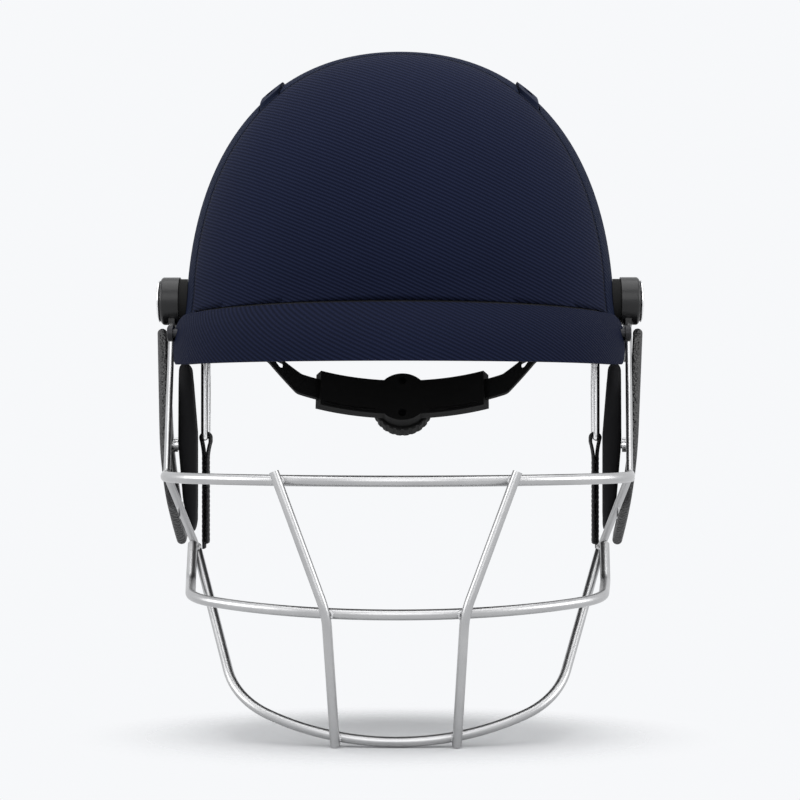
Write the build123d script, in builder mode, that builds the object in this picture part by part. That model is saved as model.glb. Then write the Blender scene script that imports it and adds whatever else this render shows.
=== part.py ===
import os
from math import acos, asin, cos, degrees, pi, radians, sin, sqrt, tan

from build123d import *

os.makedirs("parts", exist_ok=True)

# Cricket helmet with a welded wire grille, swinging ear guards and a rear dial adjuster.
# The origin is the centre of the head, +Z is up and the face looks along -Y.

# Helmet form
HALF_WIDTH = 101.5
HALF_LENGTH = 124.0
CROWN_RISE = 133.5
WIDEST_Z = 30.0
FORM_Y = 12.0
FORM_POWER = 2.33
FORM_STEPS = 8
FORM_START_ANGLE = 9.0
# Width and height of the flared skirt, as shares of the half width and of the crown's rise
FLARE_SHARES = ((1.030, -0.047), (1.004, 0.07))
FLARE_LEAN_SHARE = 0.30
RIM_FRONT_Z = 37.0
RIM_TEMPLE_Z = 26.5
RIM_SIDE_Z = 25.2
RIM_REAR_Z = 25.6
EDGING_FRONT_Y = -37.0

# Layers of the wall
COVER_WALL = 1.0
SHELL_WALL = 3.8
PAD_WALL = 12.0
SOFT_GAP = 0.3
PANEL_GAP = 0.5
OVERRUN = 60.0

# Panels of the cover and the vent rails between them
FRONT_SEAM_Y = -34.0
CROWN_SEAM_X = 55.0
RAIL_WIDTH = 9.0
RAIL_FRONT_Y = -30.0
RAIL_REAR_Y = 84.0
RAIL_PROUD = 1.4
LOUVRE_LENGTH = 11.0
LOUVRE_WIDTH = 4.0
LOUVRE_DEPTH = 1.2
LOUVRE_PITCH = 18.0
LOUVRE_COUNT = 6

# Peak
SEAM_FRONT_Z = 43.2
SEAM_SIDE_Z = 39.4
PEAK_FRONT_REACH = 43.0
PEAK_SIDE_REACH = 7.0
PEAK_LOW_Z = 15.8
PEAK_REAR_Y = -33.0
PEAK_REAR_LEAN = 17.0
PEAK_CORNER = 11.0
PEAK_BELLY_FRONT_SHARE = 0.62
PEAK_BELLY_SIDE_SHARE = 0.84
PEAK_BELLY_DROP_SHARE = 0.37
PEAK_SKIN = 1.2
PEAK_CORE_WALL = 3.0
PEAK_HEM_DROP = 2.0
PEAK_SCREW_RADIUS = 2.0
PEAK_SCREW_HEAD = 3.6
PEAK_SCREW_HEAD_WALL = 2.6
PEAK_SCREW_LENGTH = 13.0
PEAK_SCREW_Y = -44.0
PEAK_SCREW_Z = 30.0

# Liner pads
PAD_PATCH_CORNER = 9.0
CROWN_PAD_Y = 12.0
CROWN_PAD_WIDTH = 74.0
CROWN_PAD_LENGTH = 96.0
FRONT_PAD_Z = 68.0
FRONT_PAD_WIDTH = 124.0
FRONT_PAD_HEIGHT = 44.0
REAR_PAD_Z = 74.0
REAR_PAD_WIDTH = 118.0
REAR_PAD_HEIGHT = 52.0
SIDE_PAD_Y = 12.0
SIDE_PAD_Z = 84.0
SIDE_PAD_LENGTH = 84.0
SIDE_PAD_HEIGHT = 46.0

# Side pivots
PIVOT_Y = -3.0
PIVOT_Z = 46.5
BARREL_RADIUS = 11.2
BARREL_IN_X = 103.4
BARREL_OUT_X = 112.2
BARREL_EDGE = 1.6
BOLT_RADIUS = 3.0
RUNNING_GAP = 0.06
FACE_GAP = 0.3
CAP_RADIUS = 9.9
CAP_RIM = 0.9
CAP_DOME = 1.2
NECK_HALF_WIDTH = 7.5
NECK_IN_X = 105.3
NECK_WALL = 2.8
NECK_LOW_Z = 21.5
ANCHOR_WALL = 6.5
ANCHOR_HALF_LENGTH = 20.0
ANCHOR_LOW_Z = 37.0
ANCHOR_HIGH_Z = 58.0
BOLT_HEAD_RADIUS = 6.0
BOLT_HEAD_WALL = 2.5

# Grille wires
TOP_BAR_RADIUS = 2.3
TOP_BAR_Z = -32.6
GRILLE_FRONT_Y = -150.0
TOP_BAR_HALF_WIDTH = 101.0
BAR_DEPTH = 75.0
TOP_BAR_CORNER = 34.0
MIDDLE_BAR_RADIUS = 2.2
MIDDLE_BAR_Z = -86.2
MIDDLE_BAR_TILT = 5.5
MIDDLE_BAR_HALF_WIDTH = 90.4
MIDDLE_BAR_CORNER = 30.0
HOOK_BEND = 10.0
HOOK_END_SHIFT = (1.6, -2.5, 2.2)
CHIN_BAR_RADIUS = 2.1
CHIN_BAR_Y = -135.0
CHIN_BAR_Z = -139.5
CHIN_BAR_TILT = 43.7
CHIN_BAR_CORNER = 38.0
CHIN_BAR_DEPTH = 106.3
CHIN_BAR_HALF_WIDTH = 89.6
BOW_ANGLE = 40.0
CHIN_BOW_ANGLE = 30.0
BAR_END_ANGLE = 84.0
CHIN_END_ANGLE = 75.0
UPRIGHT_RADIUS = 2.0
UPRIGHT_TOP_X = 47.8
UPRIGHT_MIDDLE_X = 27.8
UPRIGHT_CHIN_X = 25.0
UPRIGHT_OVERHANG = 1.6
UPRIGHT_BEND = 25.0
SIDE_WIRE_RADIUS = 1.5
CHEEK_WIRE_RADIUS = 1.7
WIRE_SINK = 0.25

# Ear guards and their pads. A middle line gives the lean of the wall as seen from the front.
GUARD_WALL = 4.5
GUARD_TOP_MID = (111.95, 31.1)
GUARD_TURN_MID = (110.1, -12.0)
GUARD_LOW_MID = (102.6, -63.8)
EAR_TOE_IN = 5.5
GUARD_SIDE_VIEW = (
    (-9.0, 36.0),
    (-58.0, -24.0),
    (-60.0, -44.0),
    (-26.0, -70.0),
    (14.0, -70.0),
    (34.0, -42.0),
    (34.0, -4.0),
    (14.0, 36.0),
)
GUARD_CORNER = 12.0
GUARD_EDGE = 1.5
EAR_PAD_SECTION = (
    (98.3, 17.5),
    (104.2, 17.5),
    (104.4, -20.0),
    (102.2, -46.0),
    (99.0, -61.0),
    (95.6, -61.0),
    (95.6, -16.0),
)
EAR_PAD_WIDTH = 60.0
EAR_PAD_CORNER = 12.0
GUARD_SCREW_RADIUS = 1.6
GUARD_SCREW_IN_X = 99.5
GUARD_SCREW_OUT_X = 110.4
GUARD_COLLAR_RADIUS = 3.2
GUARD_COLLAR_IN_X = 104.7
GUARD_COLLAR_OUT_X = 106.7
GUARD_SCREW_SPAN = 26.0
GUARD_SCREW_Z = -21.0
LUG_IN_X = 96.5
LUG_FRONT_Y = -70.0
LUG_REAR_Y = -50.0
LUG_HEIGHT = 7.0
LUG_Z = -49.0

# Chin straps
BAIL_X = 93.0
BAIL_RADIUS = 1.4
BAIL_SPAN = 18.0
BAIL_Y = 13.0
BAIL_LOW_Z = -18.0
BAIL_CORNER = 2.4
STRAP_WALL = 3.6
STRAP_WIDTH = 13.0
STRAP_LOW_Z = -71.0
STRAP_LOOP_WALL = 0.85
STRAP_LOOP_GAP = 0.25

# Rear size adjuster, drawn in a plane that falls to the rear
ADJUSTER_TILT = 27.0
BAND_RADIUS = 88.0
ADJUSTER_Y = 105.0
ADJUSTER_Z = 0.2
BAND_WALL = 2.0
BAND_HALF_HEIGHT = 5.6
BAND_GAP = 0.3
BAND_BODY_ANGLE = 24.5
BAND_LOW_SWEEP_ANGLES = (38.0, 51.0)
BAND_HIGH_SWEEP_ANGLES = (36.0, 46.0)
BAND_END_ANGLE = 71.0
BAND_TAIL_LOW = 5.6
BAND_TAIL_HIGH = 10.6
BAND_CORNER = 4.0
BAND_HOLE_ANGLES = (44.0, 48.4)
BAND_HOLE_LOW = 3.4
BAND_HOLE_HIGH = 8.4
BAND_HOLE_CORNER = 0.9
ARM_TIP_ANGLE = 9.0
MODULE = 0.6
PINION_TEETH = 12
RACK_TEETH = 14
PRESSURE_ANGLE = 25.0
ADDENDUM_SHARE = 0.60
DEDENDUM_SHARE = 0.80
BACKLASH = 0.16
FLANK_STEPS = 4
PINION_HALF_WALL = 1.4
STUB_RADIUS = 1.5
STUB_LENGTH = 0.9
HOUSING_HALF_ANGLE = 29.5
HOUSING_HALF_HEIGHT = 9.8
HOUSING_WALL = 1.5
HOUSING_DISC_RADIUS = 13.6
HOUSING_DISC_PROUD = 0.8
KNOB_RADIUS = 15.6
KNOB_WALL = 8.0
KNOB_EDGE = 1.2
KNOB_FLUTES = 24
KNOB_FLUTE_RADIUS = 1.3
SHAFT_RADIUS = 2.5
SHAFT_IN_KNOB = 4.0
DIAL_SCREW_RADIUS = 1.2
DIAL_SCREW_HEAD = 2.4
DIAL_SCREW_HEAD_WALL = 1.2
DIAL_SCREW_LENGTH = 7.0
HOUSING_SCREW_RADIUS = 1.1
HOUSING_SCREW_HEAD = 2.0
HOUSING_SCREW_HEAD_WALL = 1.0
HOUSING_SCREW_LENGTH = 5.0
HOUSING_SCREW_RISE = 9.4
GROOVE_RISES = (-8.9, -7.6)
GROOVE_WIDTH = 0.6
GROOVE_DEPTH = 0.5
GROOVE_ANGLES = (9.5, 28.0)
GUIDE_ANGLE = 60.5
GUIDE_HALF_ANGLE = 1.8
GUIDE_WALL = 1.6
GUIDE_HIGH = 19.0

SIDES = (("left", -1), ("right", 1))


def save(name, part):
    """Write one finished piece under its own name."""
    part.label = name
    export_step(part, f"parts/{name}.step")


def mirrored(part, side):
    """The piece as made for the right, or its mirror image for the left."""
    return part if side > 0 else part.mirror(Plane.YZ)


# Helmet form and its trimming tools
def form(inset):
    """Closed helmet form, drawn in by inset from the outside of the fabric."""
    angles = [
        radians(FORM_START_ANGLE + (90 - FORM_START_ANGLE) * step / FORM_STEPS)
        for step in range(FORM_STEPS + 1)
    ]
    arch = [(cos(a) ** (2 / FORM_POWER), sin(a) ** (2 / FORM_POWER)) for a in angles[:-1]] + [(0, 1)]
    with BuildPart() as solid:
        with BuildSketch(Plane.XZ):
            with BuildLine():
                side = Spline(*FLARE_SHARES, *arch, tangents=((-FLARE_LEAN_SHARE, 1), (-1, 0)))
                Polyline(side @ 1, (0, (side @ 0).Y), side @ 0)
            make_face()
        revolve(axis=Axis.Z)
        scale(by=(HALF_WIDTH - inset, HALF_LENGTH - inset, CROWN_RISE - inset))
    return solid.part.moved(Location((0, FORM_Y, WIDEST_Z)))


FORM_FRONT_Y = FORM_Y - HALF_LENGTH
FORM_REAR_Y = FORM_Y + HALF_LENGTH
TOP_Z = WIDEST_Z + CROWN_RISE + OVERRUN
ALL_WIDTH = 2 * (HALF_WIDTH + OVERRUN)
LEFT_OF_ALL = Plane.YZ.offset(-ALL_WIDTH / 2)
SHELL_OUT = COVER_WALL + SOFT_GAP
SHELL_IN = SHELL_OUT + SHELL_WALL
LINER_OUT = SHELL_IN + SOFT_GAP
LINER_IN = LINER_OUT + PAD_WALL


# The rim line as seen from the side, from brow to nape
RIM_LINE = (
    (FORM_FRONT_Y - OVERRUN / 6, RIM_FRONT_Z),
    (PEAK_SCREW_Y - NECK_HALF_WIDTH, RIM_TEMPLE_Z),
    (BAIL_Y, RIM_SIDE_Z),
    (FORM_REAR_Y + OVERRUN / 6, RIM_REAR_Z),
)


def above_rim(lift):
    """Everything above the rim line, raised by lift."""
    with BuildPart() as keep:
        with BuildSketch(LEFT_OF_ALL):
            with BuildLine():
                rim = Spline(*[(y, z + lift) for y, z in RIM_LINE])
                Polyline(rim @ 1, ((rim @ 1).X, TOP_Z), ((rim @ 0).X, TOP_Z), rim @ 0)
            make_face()
        extrude(amount=ALL_WIDTH)
    return keep.part


def peak_zone(grow):
    """Side view of the peak below the seam, grown by grow at the seam and the rear edge."""
    front = FORM_FRONT_Y - OVERRUN
    low_z = PEAK_LOW_Z - grow
    with BuildPart() as zone:
        with BuildSketch(LEFT_OF_ALL) as face:
            with BuildLine():
                Polyline(
                    (front, SEAM_FRONT_Z + grow),
                    (PEAK_REAR_Y + grow, SEAM_SIDE_Z + grow),
                    (PEAK_REAR_Y - PEAK_REAR_LEAN + grow, low_z),
                    (front, low_z),
                    close=True,
                )
            make_face()
            fillet(face.vertices().group_by(Axis.X)[-1], PEAK_CORNER / 2)
            fillet(face.vertices().sort_by(Axis.Y)[:2].sort_by(Axis.X)[-1], PEAK_CORNER)
        extrude(amount=ALL_WIDTH)
    return zone.part


def side_slab(x_low, x_high):
    """A slab of the whole helmet between two widths, on the right."""
    with BuildPart() as slab:
        with BuildSketch(Plane.XY):
            with Locations(((x_low + x_high) / 2, FORM_Y)):
                Rectangle(x_high - x_low, 2 * (HALF_LENGTH + OVERRUN))
        extrude(amount=TOP_Z)
    return slab.part


skin_block = above_rim(0)
peak_hollow = peak_zone(PANEL_GAP)
form_outer = form(0)
form_under_cover = form(COVER_WALL)
form_shell_out = form(SHELL_OUT)
form_shell_in = form(SHELL_IN)

# Hard shell
with BuildPart() as shell:
    add(form_shell_out)
    add(skin_block, mode=Mode.INTERSECT)
    add(form_shell_in, mode=Mode.SUBTRACT)
    with BuildSketch(LEFT_OF_ALL):
        with Locations((PIVOT_Y, PIVOT_Z)):
            Circle(BOLT_RADIUS + RUNNING_GAP)
        with Locations((PEAK_SCREW_Y, PEAK_SCREW_Z)):
            Circle(PEAK_SCREW_RADIUS + RUNNING_GAP)
    extrude(amount=ALL_WIDTH, mode=Mode.SUBTRACT)
save("shell", shell.part)

# Fabric cover, cut in panels. The rails fill the seams between the crown panel and the sides.
with BuildPart() as cover:
    add(form_outer)
    add(skin_block, mode=Mode.INTERSECT)
    add(peak_hollow, mode=Mode.SUBTRACT)
    add(form_under_cover, mode=Mode.SUBTRACT)
    with BuildSketch(LEFT_OF_ALL):
        with Locations((PIVOT_Y, PIVOT_Z)):
            Circle(BOLT_RADIUS + FACE_GAP)
    extrude(amount=ALL_WIDTH, mode=Mode.SUBTRACT)

with BuildPart() as front_half:
    with BuildSketch(Plane.XY):
        with Locations((0, FRONT_SEAM_Y)):
            Rectangle(ALL_WIDTH, HALF_LENGTH + OVERRUN, align=(Align.CENTER, Align.MAX))
    extrude(amount=TOP_Z)

RAIL_IN_X = CROWN_SEAM_X
RAIL_OUT_X = CROWN_SEAM_X + RAIL_WIDTH

with BuildPart() as cover_front:
    add(cover.part)
    add(front_half.part, mode=Mode.INTERSECT)
save("cover_front", cover_front.part)

with BuildPart() as rear_half:
    with BuildSketch(Plane.XY):
        with Locations((0, FRONT_SEAM_Y + PANEL_GAP)):
            Rectangle(ALL_WIDTH, 2 * HALF_LENGTH + OVERRUN, align=(Align.CENTER, Align.MIN))
    extrude(amount=TOP_Z)

with BuildPart() as cover_crown:
    add(cover.part)
    add(rear_half.part, mode=Mode.INTERSECT)
    with BuildSketch(Plane.XY):
        with Locations((0, FORM_Y)):
            Rectangle(2 * (RAIL_IN_X - PANEL_GAP), 2 * (HALF_LENGTH + OVERRUN))
    extrude(amount=TOP_Z, mode=Mode.INTERSECT)
save("cover_crown", cover_crown.part)

with BuildPart() as cover_side:
    add(cover.part)
    add(rear_half.part, mode=Mode.INTERSECT)
    add(side_slab(RAIL_IN_X, HALF_WIDTH + OVERRUN), mode=Mode.INTERSECT)
    with BuildSketch(Plane.XY.offset(WIDEST_Z)):
        with Locations(((RAIL_IN_X + RAIL_OUT_X) / 2, (RAIL_FRONT_Y + RAIL_REAR_Y) / 2)):
            Rectangle(RAIL_WIDTH + 2 * PANEL_GAP, RAIL_REAR_Y - RAIL_FRONT_Y + 2 * PANEL_GAP)
    extrude(amount=TOP_Z, mode=Mode.SUBTRACT)
for side_name, side in SIDES:
    save(f"cover_side_{side_name}", mirrored(cover_side.part, side))

# Vent rails, each a louvred strip that stands a little proud of the fabric
with BuildPart() as vent_rail:
    add(form(-RAIL_PROUD))
    with BuildSketch(Plane.XY.offset(WIDEST_Z)):
        with Locations(((RAIL_IN_X + RAIL_OUT_X) / 2, (RAIL_FRONT_Y + RAIL_REAR_Y) / 2)):
            RectangleRounded(RAIL_WIDTH, RAIL_REAR_Y - RAIL_FRONT_Y, RAIL_WIDTH / 3)
    extrude(amount=TOP_Z, mode=Mode.INTERSECT)
    add(form_under_cover, mode=Mode.SUBTRACT)
with BuildPart() as louvre_cut:
    with BuildSketch(Plane.XY.offset(WIDEST_Z)):
        with Locations(((RAIL_IN_X + RAIL_OUT_X) / 2, (RAIL_FRONT_Y + RAIL_REAR_Y) / 2)):
            with GridLocations(LOUVRE_PITCH, LOUVRE_PITCH, 1, LOUVRE_COUNT):
                SlotOverall(LOUVRE_LENGTH, LOUVRE_WIDTH, rotation=90)
    extrude(amount=TOP_Z)
    add(form(LOUVRE_DEPTH - RAIL_PROUD), mode=Mode.SUBTRACT)
with BuildPart() as louvred_rail:
    add(vent_rail.part)
    add(louvre_cut.part, mode=Mode.SUBTRACT)
for side_name, side in SIDES:
    save(f"vent_rail_{side_name}", mirrored(louvred_rail.part, side))

# Edging along the rim behind the peak
with BuildPart() as rim_binding:
    with BuildSketch(LEFT_OF_ALL):
        with BuildLine():
            edge_low = Spline(*[(y, z - 2 * COVER_WALL) for y, z in RIM_LINE])
            edge_high = Spline(*[(y, z - SOFT_GAP / 3) for y, z in RIM_LINE])
            Line(edge_low @ 0, edge_high @ 0)
            Line(edge_low @ 1, edge_high @ 1)
        make_face()
        with Locations((EDGING_FRONT_Y, RIM_SIDE_Z)):
            Rectangle(ALL_WIDTH, ALL_WIDTH, align=(Align.MIN, Align.CENTER), mode=Mode.INTERSECT)
    extrude(amount=ALL_WIDTH)
    add(form(-SOFT_GAP), mode=Mode.INTERSECT)
    inside = form(SHELL_IN + SOFT_GAP)
    add(inside, mode=Mode.SUBTRACT)
    add(inside.moved(Location((0, 0, -COVER_WALL))), mode=Mode.SUBTRACT)
save("rim_binding", rim_binding.part)


# Peak, built up from a fabric skin, a stiff core, a lining and a bound edge
def peak_form(inset):
    """Brim form that flows out of the helmet at the seam, drawn in and lowered by inset."""
    seam_z = SEAM_FRONT_Z + PANEL_GAP
    belly_z = seam_z - (seam_z - PEAK_LOW_Z) * PEAK_BELLY_DROP_SHARE
    with BuildPart() as brim:
        for z, side_share, front_share in (
            (seam_z, 0, 0),
            (belly_z, PEAK_BELLY_SIDE_SHARE, PEAK_BELLY_FRONT_SHARE),
            (PEAK_LOW_Z, 1, 1),
        ):
            with BuildSketch(Plane.XY.offset(z - inset)):
                with Locations((0, FORM_Y)):
                    Ellipse(
                        HALF_WIDTH + PEAK_SIDE_REACH * side_share - inset,
                        HALF_LENGTH + PEAK_FRONT_REACH * front_share - inset,
                    )
        loft()
    return brim.part


peak_outside = peak_form(0)
peak_over_core = peak_form(PEAK_SKIN)
peak_under_core = peak_form(PEAK_SKIN + PEAK_CORE_WALL)
peak_underside = peak_form(2 * PEAK_SKIN + PEAK_CORE_WALL)
peak_block = peak_zone(0)
peak_inner_block = peak_zone(-PEAK_SKIN)
form_over_cover = form(COVER_WALL - PEAK_SKIN)

with BuildPart() as peak_cover:
    add(peak_outside)
    add(peak_inner_block, mode=Mode.INTERSECT)
    add(peak_over_core, mode=Mode.SUBTRACT)
    add(form_under_cover, mode=Mode.SUBTRACT)
    with BuildSketch(LEFT_OF_ALL):
        with Locations((PEAK_SCREW_Y, PEAK_SCREW_Z)):
            Circle(PEAK_SCREW_RADIUS + FACE_GAP)
    extrude(amount=ALL_WIDTH, mode=Mode.SUBTRACT)
save("peak_cover", peak_cover.part)

with BuildPart() as peak_core:
    add(peak_over_core)
    add(peak_inner_block, mode=Mode.INTERSECT)
    add(peak_under_core, mode=Mode.SUBTRACT)
    add(form_over_cover, mode=Mode.SUBTRACT)
    with BuildSketch(LEFT_OF_ALL):
        with Locations((PEAK_SCREW_Y, PEAK_SCREW_Z)):
            Circle(PEAK_SCREW_RADIUS + RUNNING_GAP)
    extrude(amount=ALL_WIDTH, mode=Mode.SUBTRACT)
save("peak_core", peak_core.part)

with BuildPart() as peak_lining:
    add(peak_under_core)
    add(peak_inner_block, mode=Mode.INTERSECT)
    add(peak_underside, mode=Mode.SUBTRACT)
    add(form_over_cover, mode=Mode.SUBTRACT)
    with BuildSketch(LEFT_OF_ALL):
        with Locations((PEAK_SCREW_Y, PEAK_SCREW_Z)):
            Circle(PEAK_SCREW_RADIUS + FACE_GAP)
    extrude(amount=ALL_WIDTH, mode=Mode.SUBTRACT)
save("peak_lining", peak_lining.part)

with BuildPart() as hem_zone:
    add(peak_block)
    add(peak_block.moved(Location((0, 0, -PEAK_HEM_DROP))), mode=Mode.INTERSECT)
    add(peak_inner_block, mode=Mode.SUBTRACT)
with BuildPart() as peak_binding:
    add(peak_outside)
    add(hem_zone.part, mode=Mode.INTERSECT)
    add(peak_underside, mode=Mode.SUBTRACT)
    add(form_under_cover, mode=Mode.SUBTRACT)
save("peak_binding", peak_binding.part)

PEAK_SIDE_X = peak_cover.part.bounding_box().max.X
with BuildPart() as peak_screws:
    with BuildSketch(Plane.YZ.offset(PEAK_SIDE_X + SOFT_GAP)):
        with Locations((PEAK_SCREW_Y, PEAK_SCREW_Z)):
            Circle(PEAK_SCREW_HEAD)
    extrude(amount=PEAK_SCREW_HEAD_WALL)
    fillet(peak_screws.edges().group_by(Axis.X)[-1], PEAK_SCREW_HEAD_WALL / 3)
    with BuildSketch(Plane.YZ.offset(PEAK_SIDE_X + SOFT_GAP)):
        with Locations((PEAK_SCREW_Y, PEAK_SCREW_Z)):
            Circle(PEAK_SCREW_RADIUS)
    extrude(amount=-PEAK_SCREW_LENGTH)
    mirror(about=Plane.YZ)
save("peak_screws", peak_screws.part)

# Liner pads, each a patch of the layer inside the shell
liner_out = form(LINER_OUT)
liner_in = form(LINER_IN)

with BuildPart() as crown_pad:
    with BuildSketch(Plane.XY.offset(WIDEST_Z)):
        with Locations((0, CROWN_PAD_Y)):
            RectangleRounded(CROWN_PAD_WIDTH, CROWN_PAD_LENGTH, PAD_PATCH_CORNER)
    extrude(amount=TOP_Z)
    add(liner_out, mode=Mode.INTERSECT)
    add(liner_in, mode=Mode.SUBTRACT)
save("crown_pad", crown_pad.part)

with BuildPart() as front_pad:
    with BuildSketch(Plane.XZ):
        with Locations((0, FRONT_PAD_Z)):
            RectangleRounded(FRONT_PAD_WIDTH, FRONT_PAD_HEIGHT, PAD_PATCH_CORNER)
    extrude(amount=HALF_LENGTH + OVERRUN)
    add(liner_out, mode=Mode.INTERSECT)
    add(liner_in, mode=Mode.SUBTRACT)
save("front_pad", front_pad.part)

with BuildPart() as rear_pad:
    with BuildSketch(Plane.XZ):
        with Locations((0, REAR_PAD_Z)):
            RectangleRounded(REAR_PAD_WIDTH, REAR_PAD_HEIGHT, PAD_PATCH_CORNER)
    extrude(amount=-(HALF_LENGTH + OVERRUN))
    add(liner_out, mode=Mode.INTERSECT)
    add(liner_in, mode=Mode.SUBTRACT)
save("rear_pad", rear_pad.part)

with BuildPart() as side_pad:
    with BuildSketch(Plane.YZ):
        with Locations((SIDE_PAD_Y, SIDE_PAD_Z)):
            RectangleRounded(SIDE_PAD_LENGTH, SIDE_PAD_HEIGHT, PAD_PATCH_CORNER)
    extrude(amount=HALF_WIDTH + OVERRUN)
    add(liner_out, mode=Mode.INTERSECT)
    add(liner_in, mode=Mode.SUBTRACT)
for side_name, side in SIDES:
    save(f"side_pad_{side_name}", mirrored(side_pad.part, side))

# Side pivots. Each is drawn on the right in a plane through its axis.
PIVOT_AXIS = Axis((0, PIVOT_Y, PIVOT_Z), (1, 0, 0))
PIVOT_PLANE = Plane(origin=(0, PIVOT_Y, PIVOT_Z), x_dir=(1, 0, 0), z_dir=(0, -1, 0))
ANCHOR_Y = (PIVOT_Y + BAIL_Y) / 2
ANCHOR_IN_X = HALF_WIDTH - SHELL_IN - ANCHOR_WALL
CAP_IN_X = BARREL_OUT_X + FACE_GAP
BOLT_END_X = CAP_IN_X + CAP_RIM
DOME_RADIUS = (CAP_RADIUS**2 + CAP_DOME**2) / (2 * CAP_DOME)

with BuildPart() as pivot_bolt:
    with BuildSketch(PIVOT_PLANE):
        with BuildLine():
            Polyline(
                (ANCHOR_IN_X - BOLT_HEAD_WALL, 0),
                (ANCHOR_IN_X - BOLT_HEAD_WALL, BOLT_HEAD_RADIUS),
                (ANCHOR_IN_X - FACE_GAP / 3, BOLT_HEAD_RADIUS),
                (ANCHOR_IN_X - FACE_GAP / 3, BOLT_RADIUS),
                (BOLT_END_X, BOLT_RADIUS),
                (BOLT_END_X, 0),
                close=True,
            )
        make_face()
    revolve(axis=PIVOT_AXIS)

with BuildPart() as pivot_cap:
    with BuildSketch(PIVOT_PLANE):
        with BuildLine():
            dome_x = CAP_IN_X + CAP_RIM + CAP_DOME - DOME_RADIUS
            crown = CenterArc((dome_x, 0), DOME_RADIUS, 0, degrees(asin(CAP_RADIUS / DOME_RADIUS)))
            Polyline(crown @ 1, (CAP_IN_X, CAP_RADIUS), (CAP_IN_X, 0), crown @ 0)
        make_face()
    revolve(axis=PIVOT_AXIS)
    with BuildSketch(Plane.YZ.offset(CAP_IN_X)):
        with Locations((PIVOT_Y, PIVOT_Z)):
            Circle(BOLT_RADIUS + RUNNING_GAP)
    extrude(amount=CAP_RIM + RUNNING_GAP, mode=Mode.SUBTRACT)

with BuildPart() as pivot_washer:
    with BuildSketch(Plane.YZ.offset(ANCHOR_IN_X)):
        with Locations((PIVOT_Y, PIVOT_Z)):
            Circle(BARREL_RADIUS - BARREL_EDGE / 2)
            Circle(BOLT_RADIUS + FACE_GAP, mode=Mode.SUBTRACT)
    extrude(amount=BARREL_IN_X - FACE_GAP / 2 - ANCHOR_IN_X)
    add(form(-SOFT_GAP / 3), mode=Mode.SUBTRACT)

with BuildPart() as pivot_boss:
    with BuildSketch(Plane.YZ.offset(BARREL_IN_X)):
        with Locations((PIVOT_Y, PIVOT_Z)):
            Circle(BARREL_RADIUS)
    extrude(amount=BARREL_OUT_X - BARREL_IN_X)
    fillet(pivot_boss.edges().group_by(Axis.X)[-1], BARREL_EDGE)
    with BuildSketch(Plane.YZ.offset(NECK_IN_X)):
        with Locations((PIVOT_Y, (PIVOT_Z + NECK_LOW_Z) / 2)):
            SlotOverall(PIVOT_Z - NECK_LOW_Z + NECK_HALF_WIDTH, 2 * NECK_HALF_WIDTH, rotation=90)
    extrude(amount=NECK_WALL)
    with BuildSketch(Plane.YZ.offset(BARREL_IN_X)):
        with Locations((PIVOT_Y, PIVOT_Z)):
            Circle(BOLT_RADIUS + RUNNING_GAP)
    extrude(amount=BARREL_OUT_X - BARREL_IN_X, mode=Mode.SUBTRACT)

BAIL_TOP_Z = ANCHOR_HIGH_Z - ANCHOR_WALL
BAIL_FRONT_Y = BAIL_Y - BAIL_SPAN / 2
BAIL_REAR_Y = BAIL_Y + BAIL_SPAN / 2
with BuildPart() as strap_anchor:
    with BuildSketch(Plane.YZ.offset(ANCHOR_IN_X)):
        with Locations((ANCHOR_Y, (ANCHOR_LOW_Z + ANCHOR_HIGH_Z) / 2)):
            RectangleRounded(2 * ANCHOR_HALF_LENGTH, ANCHOR_HIGH_Z - ANCHOR_LOW_Z, ANCHOR_WALL / 2)
    extrude(amount=OVERRUN)
    add(form(SHELL_IN + SOFT_GAP / 3), mode=Mode.INTERSECT)
    with BuildSketch(Plane.YZ.offset(ANCHOR_IN_X)):
        with Locations((PIVOT_Y, PIVOT_Z)):
            Circle(BOLT_RADIUS + RUNNING_GAP)
    extrude(amount=OVERRUN, mode=Mode.SUBTRACT)
    with BuildSketch(Plane.XY.offset(ANCHOR_LOW_Z)):
        with Locations((BAIL_X, BAIL_FRONT_Y), (BAIL_X, BAIL_REAR_Y)):
            Circle(BAIL_RADIUS + RUNNING_GAP)
    extrude(amount=BAIL_TOP_Z - ANCHOR_LOW_Z + RUNNING_GAP, mode=Mode.SUBTRACT)

with BuildPart() as strap_hanger:
    with BuildLine(Plane.YZ.offset(BAIL_X)) as bail:
        FilletPolyline(
            (BAIL_FRONT_Y, BAIL_TOP_Z),
            (BAIL_FRONT_Y, BAIL_LOW_Z),
            (BAIL_REAR_Y, BAIL_LOW_Z),
            (BAIL_REAR_Y, BAIL_TOP_Z),
            radius=BAIL_CORNER,
        )
    with BuildSketch(Plane(origin=bail.wire() @ 0, z_dir=bail.wire() % 0)):
        Circle(BAIL_RADIUS)
    sweep(path=bail.wire())

STRAP_LOOP_IN = BAIL_RADIUS + STRAP_LOOP_GAP
STRAP_LOOP_OUT = STRAP_LOOP_IN + STRAP_LOOP_WALL
with BuildPart() as strap:
    with BuildSketch(Plane.XZ.offset(-(BAIL_Y + STRAP_WIDTH / 2))) as strap_side:
        with Locations((BAIL_X, BAIL_LOW_Z)):
            Circle(STRAP_LOOP_OUT)
        with Locations((BAIL_X, (BAIL_LOW_Z + STRAP_LOW_Z) / 2)):
            Rectangle(STRAP_WALL, BAIL_LOW_Z - STRAP_LOW_Z)
        with Locations((BAIL_X, BAIL_LOW_Z)):
            Circle(STRAP_LOOP_IN, mode=Mode.SUBTRACT)
    extrude(amount=STRAP_WIDTH)
    fillet(strap.edges().filter_by(Axis.X).group_by(Axis.Z)[0], STRAP_WIDTH / 3)

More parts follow.
